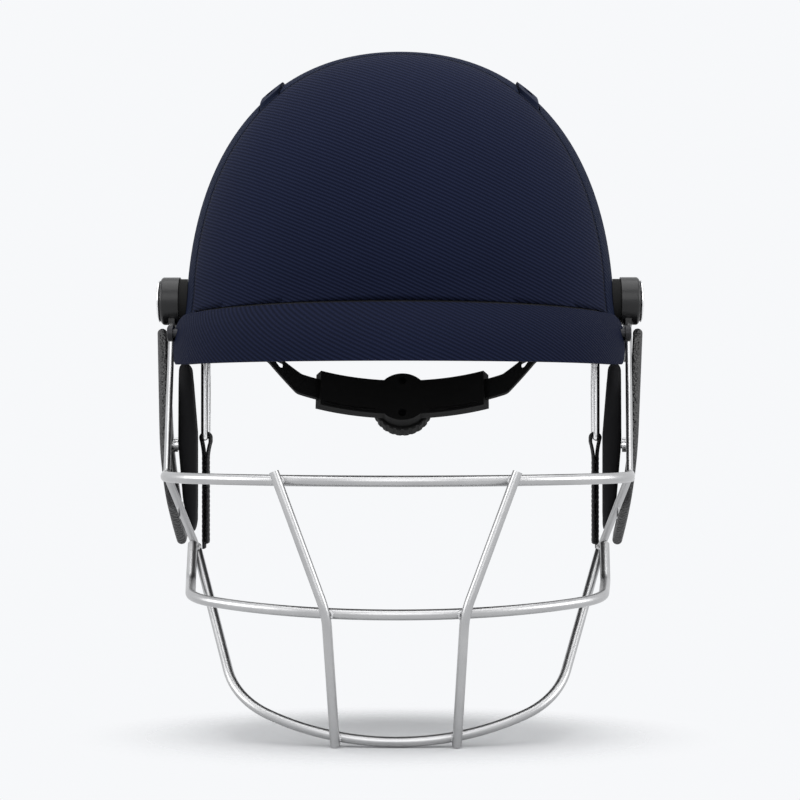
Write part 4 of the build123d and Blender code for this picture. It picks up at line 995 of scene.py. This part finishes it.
# Pads
@dataclass
class SoftPads:
    """The liner's faced foam pads and the ribbed ear pads."""

    form: HelmetForm
    faced: bpy.types.Material
    foam: bpy.types.Material
    crown: Outline = ((0.0, 0.012), (0.074, 0.096))
    brow: Outline = ((0.0, 0.068), (0.124, 0.044))
    nape: Outline = ((0.0, 0.074), (0.118, 0.052))
    temple: Outline = ((0.012, 0.084), (0.084, 0.046))
    near: float = 0.0056
    far: float = 0.0172
    steps: int = 56
    corner: float = 0.009
    edge: float = 0.006
    trim: float = 0.001
    channel_share: float = 0.20
    channel_rise: float = 1.6
    fill: float = 0.8
    ear_low: float = -0.061
    ear_high: float = 0.0175
    ear_width: float = 0.0596
    ear_corner: float = 0.012
    ear_edge: float = 0.0026
    ear_ribs: int = 8
    ear_rib_depth: float = 0.0013
    ear_steps: tuple[int, int] = (110, 40)
    ear_slack: float = 0.0002
    ear_skin: float = 0.0001
    ear_fill: float = 0.9
    rib_power: float = 0.6
    rib_fade: float = 0.004
    outer_line: tuple[tuple[float, ...], ...] = (
        (-0.061, -0.046, -0.020, 0.0175),
        (0.0990, 0.1022, 0.1044, 0.1042),
    )
    inner_line: tuple[tuple[float, ...], ...] = ((-0.016, 0.0175), (0.0956, 0.0983))
    toe_in: float = 5.5
    toe_x: float = 0.11195

    def build(self) -> None:
        """Make every pad in place of its plain solid."""
        form = self.form
        patches = {
            "crown_pad": (self.crown, 3, lambda u, v, i: (u, v, form.over(u, v, i))),
            "front_pad": (self.brow, 3, lambda u, v, i: (u, form.centre_y - form.before(u, v, i), v)),
            "rear_pad": (self.nape, 3, lambda u, v, i: (u, form.centre_y + form.before(u, v, i), v)),
        }
        for side, sign in SIDES:
            place = lambda u, v, i, s=sign: (s * form.beside(u, v, i), u, v)
            patches[f"side_pad_{side}"] = (self.temple, 2, place)
        for name, (outline, channels, place) in patches.items():
            self.patch(name, outline, channels, place)
        for side, sign in SIDES:
            self.ear_pad(side, sign)

    @staticmethod
    def rounded(s: float, t: float, size: tuple[float, float], corner: float) -> tuple[float, float, float]:
        """Map a square to a rounded rectangle.

        Args:
            s: Place across, from -1 to 1.
            t: Place along, from -1 to 1.
            size: Full width and length.
            corner: Corner radius.

        Returns:
            The place and its distance from the edge.
        """
        half_w, half_l = size[0] / 2, size[1] / 2
        ring = max(abs(s), abs(t))
        if ring == 0:
            return 0.0, 0.0, min(half_w, half_l)
        x, y = s / ring * half_w, t / ring * half_l
        dx, dy = abs(x) - half_w + corner, abs(y) - half_l + corner
        if dx > 0 and dy > 0:
            length = math.hypot(dx, dy)
            x = math.copysign(half_w - corner + dx / length * corner, x)
            y = math.copysign(half_l - corner + dy / length * corner, y)
        return x * ring, y * ring, (1 - ring) * min(half_w, half_l)

    @staticmethod
    def round_off(depth: float, edge: float) -> float:
        """Share of the full thickness at a distance from a rounded edge."""
        return math.sqrt(max(0.0, 1 - (1 - min(depth / edge, 1.0)) ** 2))

    @staticmethod
    def finish(
        name: str, mesh: bmesh.types.BMesh, paint: bpy.types.Material, body: str, slot: str, fill: float
    ) -> None:
        """Close a pad's two skins and put it on its body.

        Args:
            name: The CAD node that it replaces.
            mesh: Its two skins.
            paint: Its material.
            body: The body that it rides on.
            slot: Its material slot, which is not used.
            fill: How full its cover is; not used.
        """
        Maker.outward(mesh)
        made = Maker.piece(f"{name}_foam", mesh, paint)
        Maker.fit(made, body, slot, name)

    def patch(
        self, name: str, outline: Outline, channels: int, place: Callable[[float, float, float], Point]
    ) -> None:
        """A pad that follows the inside of the shell, plump between sewn channels.

        Args:
            name: The CAD node that it replaces.
            outline: Centre, then width and length, in the pad's own view.
            channels: Fields between the channels.
            place: Function from the view and a depth to a point.
        """
        centre, size = outline
        mesh = bmesh.new()
        trimmed = (size[0] - self.trim, size[1] - self.trim)
        spread = [math.sin((2 * i / self.steps - 1) * math.pi / 2) for i in range(self.steps + 1)]
        middle, half = (self.near + self.far) / 2, (self.far - self.near) / 2
        for inner in (False, True):
            rows = []
            for s in spread:
                row = []
                for t in spread:
                    u, v, depth = self.rounded(s, t, trimmed, self.corner)
                    field = abs(math.sin(math.pi * channels * (u / size[0] + 0.5)))
                    plump = 1.0 - self.channel_share * (1.0 - math.sqrt(min(1.0, field * self.channel_rise)))
                    inset = middle + half * self.round_off(depth, self.edge) * (plump if inner else -1.0)
                    row.append(Vector(place(centre[0] + u, centre[1] + v, inset)))
                rows.append(row)
            Maker.skin(mesh, rows)
        self.finish(name, mesh, self.faced, "helmet", "foam", self.fill)

    def ear_pad(self, side: str, sign: float) -> None:
        """A foam ear pad with moulded upright ribs on its inner face.

        Args:
            side: left or right.
            sign: -1 or 1.
        """
        mesh = bmesh.new()
        size = (self.ear_width, self.ear_high - self.ear_low - 2 * self.ear_slack)
        middle_z = (self.ear_low + self.ear_high) / 2
        turn = math.radians(self.toe_in)
        across, tall = self.ear_steps
        for way in (-1, 1):
            rows = []
            for i in range(across + 1):
                row = []
                for j in range(tall + 1):
                    t = math.sin((2 * j / tall - 1) * math.pi / 2)
                    u, v, depth = self.rounded(2 * i / across - 1, t, size, self.ear_corner)
                    z = middle_z + v
                    outer = float(np.interp(z, *self.outer_line)) - self.ear_skin
                    inner = float(np.interp(z, *self.inner_line)) + self.ear_skin
                    rib = 0.5 - 0.5 * math.cos(TURN * self.ear_ribs * (u / size[0] + 0.5))
                    inner += self.ear_rib_depth * (1 - rib**self.rib_power) * min(1.0, depth / self.rib_fade)
                    x = (outer + inner) / 2 + (outer - inner) / 2 * self.round_off(depth, self.ear_edge) * way
                    in_by = x - self.toe_x
                    x = self.toe_x + in_by * math.cos(turn) + u * math.sin(turn)
                    row.append(Vector((sign * x, u * math.cos(turn) - in_by * math.sin(turn), z)))
                rows.append(row)
            Maker.skin(mesh, rows)
        self.finish(f"ear_pad_{side}", mesh, self.foam, "grille", "ear_foam", self.ear_fill)


# Straps
@dataclass
class ChinStraps:
    """Webbing looped over the wire hangers and sewn back on itself."""

    finish: bpy.types.Material
    bail_x: float = 0.0930
    bail_z: float = -0.018
    bail_radius: float = 0.0014
    bail_gap: float = 0.00025
    strap_y: float = 0.013
    width: float = 0.0128
    low_z: float = -0.0709
    wall: float = 0.0012
    half_gap: float = 0.0008
    sewn_end: float = 0.0025
    tip: float = 0.003
    tip_taper_share: float = 0.12
    fold_drop: float = 0.002
    spread_share: float = 0.2
    edge_power: int = 6
    across: int = 12
    rear_steps: int = 29
    loop_steps: int = 12
    front_steps: int = 39

    def build(self) -> None:
        """Make both straps in place of their plain solids."""
        for side, sign in SIDES:
            mesh = bmesh.new()
            top, low = (self.face(mesh, sign, way * self.wall / 2) for way in (1, -1))
            for a, b in ((top[0], low[0]), (top[-1], low[-1])):
                for i in range(self.across):
                    mesh.faces.new((a[i], a[i + 1], b[i + 1], b[i]))
            for i in range(len(top) - 1):
                for j in (0, -1):
                    mesh.faces.new((top[i][j], top[i + 1][j], low[i + 1][j], low[i][j]))
            self.unroll(mesh, top, low)
            Maker.outward(mesh)
            made = Maker.piece(f"strap_{side}_webbing", mesh, self.finish)
            Maker.fit(made, f"strap_{side}", "webbing", f"strap_{side}")

    def face(self, mesh: bmesh.types.BMesh, sign: float, offset: float) -> list[list[bmesh.types.BMVert]]:
        """Add one face of a strap.

        Args:
            mesh: The strap's mesh.
            sign: -1 for the left strap and 1 for the right one.
            offset: How far the face is from the strap's middle.

        Returns:
            The face's vertices, row by row.
        """
        rows = []
        for x, z, nx, nz, taper in self.line():
            row = []
            for j in range(self.across + 1):
                t = 2 * j / self.across - 1
                off = offset * math.sqrt(max(0.0, 1 - abs(t) ** self.edge_power))
                y = self.strap_y + t * self.width / 2 * taper
                row.append(Vector((sign * (x + nx * off), y, z + nz * off)))
            rows.append(row)
        return Maker.skin(mesh, rows)

    def unroll(
        self,
        mesh: bmesh.types.BMesh,
        top: list[list[bmesh.types.BMVert]],
        low: list[list[bmesh.types.BMVert]],
    ) -> None:
        """Give the strap a map in metres along and across it.

        Args:
            mesh: The strap's mesh.
            top: Vertices of its outer face.
            low: Vertices of its inner face.
        """
        uv = mesh.loops.layers.uv.new("cloth")
        run, length = {}, 0.0
        middle = self.across // 2
        for i, row in enumerate(top):
            if i:
                length += (row[middle].co - top[i - 1][middle].co).length
            for j, vert in enumerate(row):
                run[vert] = run[low[i][j]] = (length, j / self.across * self.width)
        for face in mesh.faces:
            for loop in face.loops:
                loop[uv].uv = run[loop.vert]

    def line(self) -> list[tuple[float, float, float, float, float]]:
        """The strap's middle line from its sewn end, up over the wire and down to its tip.

        Returns:
            Place, outward direction and width share of each step.
        """
        radius = self.bail_radius + self.bail_gap + self.wall / 2
        spread = radius - self.half_gap
        out = []
        run = self.bail_z - self.low_z - self.sewn_end
        for i in range(self.rear_steps + 1):
            t = i / self.rear_steps
            z = self.bail_z - run + t * (run - self.fold_drop)
            bow = max(0.0, 1 - (1 - t) / self.spread_share)
            out.append((self.bail_x - self.half_gap - spread * bow**2, z, -1.0, 0.0, 1.0))
        for i in range(self.loop_steps + 1):
            turn = math.pi * (1 - i / self.loop_steps)
            nx, nz = math.cos(turn), math.sin(turn)
            out.append((self.bail_x + radius * nx, self.bail_z + radius * nz, nx, nz, 1.0))
        for i in range(1, self.front_steps + 1):
            t = i / self.front_steps
            z = self.bail_z - t * (self.bail_z - self.low_z)
            x = self.bail_x + self.half_gap + spread * max(0.0, 1 - t / self.spread_share) ** 2
            tail = max(0.0, (self.low_z + self.tip - z) / self.tip)
            out.append((x, z, 1.0, 0.0, 1.0 - self.tip_taper_share * min(1.0, tail) ** 2))
        return out


# Beads, stitches and turned parts
@dataclass
class PathWork:
    """Small lumps laid along paths by a geometry node group."""

    name: str
    finish: bpy.types.Material
    pitch: float
    length: float
    thickness: float
    seed: int = 7
    least: float = 0.86
    most: float = 1.12

    def group(self) -> bpy.types.NodeTree:
        """Build the node group with its named inputs.

        Returns:
            The group.
        """
        tree = bpy.data.node_groups.new(f"{self.name}_group", "GeometryNodeTree")
        sockets = {"Path": "Geometry", "Pitch": "Float", "Length": "Float", "Thickness": "Float"}
        for label, kind in (sockets | {"Seed": "Int", "Finish": "Material"}).items():
            tree.interface.new_socket(name=label, in_out="INPUT", socket_type=f"NodeSocket{kind}")
        tree.interface.new_socket(name="Geometry", in_out="OUTPUT", socket_type="NodeSocketGeometry")
        add = Graph(tree).node
        given = add("NodeGroupInput").outputs
        thick = given["Thickness"]
        curve = add("GeometryNodeMeshToCurve", {}, {"Mesh": given["Path"]}).outputs[0]
        inputs = {"Curve": curve, "Length": given["Pitch"]}
        spaced = add("GeometryNodeResampleCurve", {"mode": "LENGTH"}, inputs).outputs[0]
        inputs = {"Vector": add("GeometryNodeInputTangent").outputs[0]}
        turn = add("FunctionNodeAlignRotationToVector", {"axis": "X"}, inputs).outputs[0]
        inputs = {2: self.least, 3: self.most, "Seed": given["Seed"]}
        chance = add("FunctionNodeRandomValue", {"data_type": "FLOAT"}, inputs).outputs[1]
        size = add("ShaderNodeCombineXYZ", {}, {"X": given["Length"], "Y": thick, "Z": thick}).outputs[0]
        scaled = add("ShaderNodeVectorMath", {"operation": "SCALE"}, {0: size, "Scale": chance}).outputs[0]
        lump = add("GeometryNodeMeshIcoSphere", {}, {"Radius": 0.5, "Subdivisions": 3}).outputs[0]
        inputs = {"Points": spaced, "Instance": lump, "Rotation": turn, "Scale": scaled}
        made = add("GeometryNodeInstanceOnPoints", {}, inputs).outputs[0]
        for kind in ("GeometryNodeRealizeInstances", "GeometryNodeSetShadeSmooth"):
            made = add(kind, {}, {"Geometry": made}).outputs[0]
        made = add("GeometryNodeSetMaterial", {}, {"Geometry": made, "Material": given["Finish"]}).outputs[0]
        add("NodeGroupOutput", {}, {"Geometry": made})
        return tree

    def lay(self, paths: list[list[Vector]], body: str, slot: str) -> None:
        """Lay the lumps along some paths, as one mesh.

        Args:
            paths: Points of each open path.
            body: The body that the lumps ride on.
            slot: Their material slot, which is not used.
        """
        mesh = bmesh.new()
        for path in paths:
            verts = [mesh.verts.new(point) for point in path]
            for a, b in zip(verts, verts[1:]):
                mesh.edges.new((a, b))
        made = Maker.piece(self.name, mesh, self.finish)
        modifier = made.modifiers.new("lay", "NODES")
        modifier.node_group = self.group()
        sizes = {"Pitch": self.pitch, "Length": self.length, "Thickness": self.thickness}
        values = sizes | {"Seed": self.seed, "Finish": self.finish}
        for item in modifier.node_group.interface.items_tree:
            if item.name in values:
                modifier[item.identifier] = values[item.name]
        bpy.context.view_layer.update()
        done = made.evaluated_get(bpy.context.evaluated_depsgraph_get())
        data = bpy.data.meshes.new_from_object(done)
        made.modifiers.clear()
        made.data = data
        Maker.fit(made, body, slot)


@dataclass
class Welds:
    """Weld beads where two wires of the grille meet."""

    finish: bpy.types.Material
    crossings: tuple[tuple[str, str], ...]
    butts: tuple[tuple[str, str], ...]
    step: float = 0.0008
    reach: float = 0.00165
    touch: float = 0.00012
    span: float = 0.009
    ring_steps: int = 24
    most_samples: int = 400
    least_cross: float = 0.2
    radius_rank: int = 75
    bead: tuple[float, float, float] = (0.00062, 0.0013, 0.0015)

    def build(self) -> None:
        """Find each meeting and lay a ring of beads round it."""
        paths = []
        for first, second in self.crossings:
            place, along, across, _ = self.meeting(first, second)
            paths.append(self.ring(place, along, across, self.reach))
        for first, second in self.butts:
            place, along, _, radius = self.meeting(first, second)
            side = along.orthogonal().normalized()
            paths.append(self.ring(place, side, along.cross(side).normalized(), radius))
        PathWork("weld_beads", self.finish, *self.bead).lay(paths, "grille", "grille_wire")

    def ring(self, place: Vector, a: Vector, b: Vector, radius: float) -> list[Vector]:
        """Points of a ring, the last on the first.

        Args:
            place: Its centre.
            a: First direction in its plane.
            b: Second direction in its plane.
            radius: Its radius.

        Returns:
            The points.
        """
        turns = [TURN * i / self.ring_steps for i in range(self.ring_steps + 1)]
        return [place + a * (radius * math.cos(t)) + b * (radius * math.sin(t)) for t in turns]

    def samples(self, name: str) -> list[Vector]:
        """Points along every edge of a CAD node.

        Args:
            name: The node.

        Returns:
            The points.
        """
        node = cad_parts[name]
        spots = [node.matrix_world @ vert.co for vert in node.data.vertices]
        points = []
        for edge in node.data.edges:
            a, b = spots[edge.vertices[0]], spots[edge.vertices[1]]
            count = max(1, int((b - a).length / self.step))
            points += [a.lerp(b, i / count) for i in range(count)]
        return points

    def meeting(self, first: str, second: str) -> tuple[Vector, Vector, Vector, float]:
        """Where two nodes meet.

        Args:
            first: One node.
            second: The other node.

        Returns:
            The place, the run of the first, the run of the second square to it, and the first's radius.
        """
        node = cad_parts[second]
        spots = [node.matrix_world @ vert.co for vert in node.data.vertices]
        tree = BVHTree.FromPolygons(spots, [list(face.vertices) for face in node.data.polygons])
        points = self.samples(first)
        near = sorted((tree.find_nearest(point)[3], i) for i, point in enumerate(points))
        patch = [points[i] for distance, i in near if distance < near[0][0] + self.touch]
        patch = patch[: self.most_samples]
        place = sum(patch, Vector()) / len(patch)
        along, radius = self.run(points, place)
        other, _ = self.run(self.samples(second), place)
        across = other - along * other.dot(along)
        if across.length < self.least_cross:
            across = along.orthogonal()
        log.info("weld %s on %s, %.2f mm apart", first, second, near[0][0] * 1000)
        return place, along, across.normalized(), radius

    def run(self, points: list[Vector], place: Vector) -> tuple[Vector, float]:
        """Direction and radius of a wire near a place.

        Args:
            points: Points on the wire.
            place: Where it is measured.

        Returns:
            The direction and the radius.
        """
        close = np.array([p for p in points if (p - place).length < self.span])
        off = close - close.mean(axis=0)
        _, vectors = np.linalg.eigh(np.cov(off.T))
        along = vectors[:, 2]
        radial = off - np.outer(off @ along, along)
        return Vector(along), float(np.percentile(np.linalg.norm(radial, axis=1), self.radius_rank))


@dataclass
class Turned:
    """Caps that are turned about the pivots."""

    finish: bpy.types.Material
    steps: int = 128
    rim: float = 0.0009
    round_off: float = 0.00035
    back_shares: tuple[float, float] = (0.2, 0.9)
    shoulder_steps: int = 5
    dome_steps: int = 24

    def build(self) -> None:
        """Make both caps in place of the plain ones."""
        turns = [TURN * i / self.steps for i in range(self.steps)]
        for side, sign in SIDES:
            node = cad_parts[f"pivot_cap_{side}"]
            spots = np.array([list(node.matrix_world @ vert.co) for vert in node.data.vertices])
            low, high = spots.min(axis=0), spots.max(axis=0)
            centre_y, centre_z = (low[1] + high[1]) / 2, (low[2] + high[2]) / 2
            inside, outside = sorted((abs(low[0]), abs(high[0])))
            mesh = bmesh.new()
            rows = []
            for x, r in self.profile(inside, outside, (high[1] - low[1]) / 2):
                ring = ((centre_y + r * math.cos(t), centre_z + r * math.sin(t)) for t in turns)
                rows.append([Vector((sign * x, y, z)) for y, z in ring])
            verts = Maker.skin(mesh, rows, closed_round=True)
            for row, x in ((verts[0], inside), (verts[-1], outside)):
                pole = mesh.verts.new((sign * x, centre_y, centre_z))
                for j in range(self.steps):
                    mesh.faces.new((row[j], row[(j + 1) % self.steps], pole))
            Maker.outward(mesh)
            made = Maker.piece(f"pivot_cap_{side}_turned", mesh, self.finish)
            Maker.fit(made, "helmet", "polished_steel", f"pivot_cap_{side}")

    def profile(self, inside: float, outside: float, radius: float) -> list[tuple[float, float]]:
        """Half section of a cap from the middle of its back to the middle of its dome.

        Args:
            inside: Its back.
            outside: The top of its dome.
            radius: Its radius.

        Returns:
            Place along the axis and radius of each point.
        """
        off = self.round_off
        line = [(inside, radius * share) for share in self.back_shares]
        line += [(inside, radius - off), (inside + off, radius)]
        shoulder = inside + self.rim
        for i in range(self.shoulder_steps + 1):
            turn = math.pi / 2 * i / self.shoulder_steps
            line.append((shoulder - off * (1 - math.sin(turn)), radius - off * (1 - math.cos(turn))))
        for i in range(1, self.dome_steps):
            r = (radius - off) * (1 - i / self.dome_steps)
            line.append((shoulder + (outside - shoulder) * (1 - (r / radius) ** 2), r))
        return line


@dataclass
class StrapStitches:
    """Rows of stitches that hold each strap's fold."""

    finish: bpy.types.Material
    straps: ChinStraps
    inset: float = 0.0014
    sunk: float = 0.00008
    rows: tuple[float, float] = (0.0075, 0.0195)
    tip_gap: float = 0.004
    stitch: tuple[float, float, float] = (0.0023, 0.0017, 0.00022)

    def build(self) -> None:
        """Sew a box on both faces of each strap."""
        straps = self.straps
        half = straps.width / 2 - self.inset
        ys = (straps.strap_y - half, straps.strap_y + half)
        high, low = (straps.bail_z - row for row in self.rows)
        off = straps.half_gap + straps.wall / 2 - self.sunk
        for side, sign in SIDES:
            paths = []
            for face in (-1, 1):
                x = sign * (straps.bail_x + face * off)
                paths += [[Vector((x, y, high)), Vector((x, y, straps.low_z + self.tip_gap))] for y in ys]
                paths += [[Vector((x, ys[0], z)), Vector((x, ys[1], z))] for z in (high, low)]
            stitches = PathWork(f"strap_stitches_{side}", self.finish, *self.stitch)
            stitches.lay(paths, f"strap_{side}", "webbing")


def cloths() -> dict[str, bpy.types.Material]:
    """Make the covers' and the peak's cloth.

    Returns:
        Part of the helmet to its cloth.
    """
    brow = (Covers.front_seam,)
    sides = ((0.0016, 0.0030, 0.0095), (0.0100, 0.0155, 0.040))
    # painted shade: the peak's cloth is the covers' navy made darker, for the deeper shade on the peak
    peak = ((0.0010, 0.0018, 0.0070), (0.0070, 0.0105, 0.031))
    kinds = {
        "front": RibbedTwill("front_cloth", (0.0016, 0.0026, 0.0095), (0.0115, 0.0160, 0.042), seams=brow),
        "side": RibbedTwill("side_cloth", *sides, 25.0, Lay.SIDE, brow),
        "crown": RibbedTwill("crown_cloth", *sides, -25.0, Lay.CROWN, brow),
        "peak": RibbedTwill("peak_cloth", *peak, 30.0, Lay.ROUND_HEAD),
    }
    return {part: kind.build() for part, kind in kinds.items()}


def main() -> None:
    """Build the helmet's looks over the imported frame."""
    logging.basicConfig(level=logging.INFO, format="%(message)s")
    cloth = cloths()
    lining = PlainCloth("lining_cloth", (0.005, 0.006, 0.010), (0.014, 0.016, 0.026)).build()
    faced = PlainCloth("pad_cloth", (0.010, 0.010, 0.011), (0.026, 0.026, 0.028), 700.0).build()
    thread = PlainCloth("strap_thread", (0.010, 0.010, 0.011), (0.022, 0.022, 0.024)).build()
    webbing = Webbing("strap_webbing", (0.006, 0.006, 0.007), (0.024, 0.024, 0.026)).build()
    ear_foam = FoamSkin("ear_foam_skin", (0.007, 0.007, 0.008), (0.018, 0.018, 0.020)).build()
    matt = Moulded("matt_skin", (0.009, 0.009, 0.0092), (0.014, 0.014, 0.014), 0.7, shine=0.12).build()
    wire = DrawnSteel("wire_steel", (0.36, 0.36, 0.365), (0.54, 0.54, 0.54)).build()
    weld = DrawnSteel("weld_steel", (0.42, 0.42, 0.43), (0.66, 0.66, 0.66), 0.36).build()
    bright = PolishedMetal("bright_plate", (0.74, 0.74, 0.75), (0.92, 0.92, 0.92)).build()
    log.info("finishes made")

    Studio().build()
    form = HelmetForm()
    Covers(form, cloth).build()
    SoftPads(form, faced, ear_foam).build()
    straps = ChinStraps(webbing)
    straps.build()
    StrapStitches(thread, straps).build()
    Turned(bright).build()
    bars = ("grille_top_bar", "grille_middle_bar", "grille_chin_bar")
    cheeks = both("cheek_wire")
    crossings = [(upright, bar) for upright in both("grille_upright") for bar in bars]
    crossings += [*zip(cheeks, both("side_wire")), *((cheek, bars[1]) for cheek in cheeks)]
    butts = [(cheek, bar) for bar in (bars[0], bars[2]) for cheek in cheeks]
    Welds(weld, tuple(crossings), tuple(butts)).build()

    shell = Moulded("shell_skin", (0.0045, 0.005, 0.010), (0.009, 0.010, 0.018), 0.6, shine=0.3)
    rail = Moulded("rail_skin", (0.0045, 0.0075, 0.021), (0.008, 0.012, 0.031), 0.75, shine=0.1)
    boss = Moulded("boss_skin", (0.004, 0.004, 0.0045), (0.008, 0.008, 0.009), 0.36, coat=0.1, shine=0.35)
    black = ((0.0035, 0.0035, 0.0036), (0.007, 0.007, 0.007))
    dial = Moulded("dial_skin", *black, 0.7, 2200.0, 0.00008, shine=0.2)
    guard = Pebbled("guard_skin", (0.0035, 0.0035, 0.004), (0.009, 0.009, 0.010))
    dark = PolishedMetal("dark_screw_plate", (0.02, 0.02, 0.022), (0.04, 0.04, 0.043), 0.35)
    housing = ["adjuster_front", "adjuster_rear", *both("band_guide"), *both("band"), "drive_pinion"]
    for nodes, finish in (
        (["shell"], shell.build()),
        (both("vent_rail"), rail.build()),
        (["peak_cover", "peak_binding", "peak_core"], cloth["peak"]),
        (["peak_lining", "rim_binding"], lining),
        (["pivot_washers", *both("strap_anchor"), *housing], matt),
        (["dial_knob"], dial.build()),
        (both("pivot_boss"), boss.build()),
        ([*both("pivot_bolt"), "ear_guard_screws", *both("strap_hanger")], bright),
        (["peak_screws", "adjuster_screws", "dial_screw"], dark.build()),
        ([*bars, *both("grille_upright"), *both("side_wire"), *cheeks, *both("guard_lug")], wire),
        (both("ear_guard"), guard.build()),
    ):
        Maker.dress(nodes, finish)


if __name__ == "__main__":
    main()
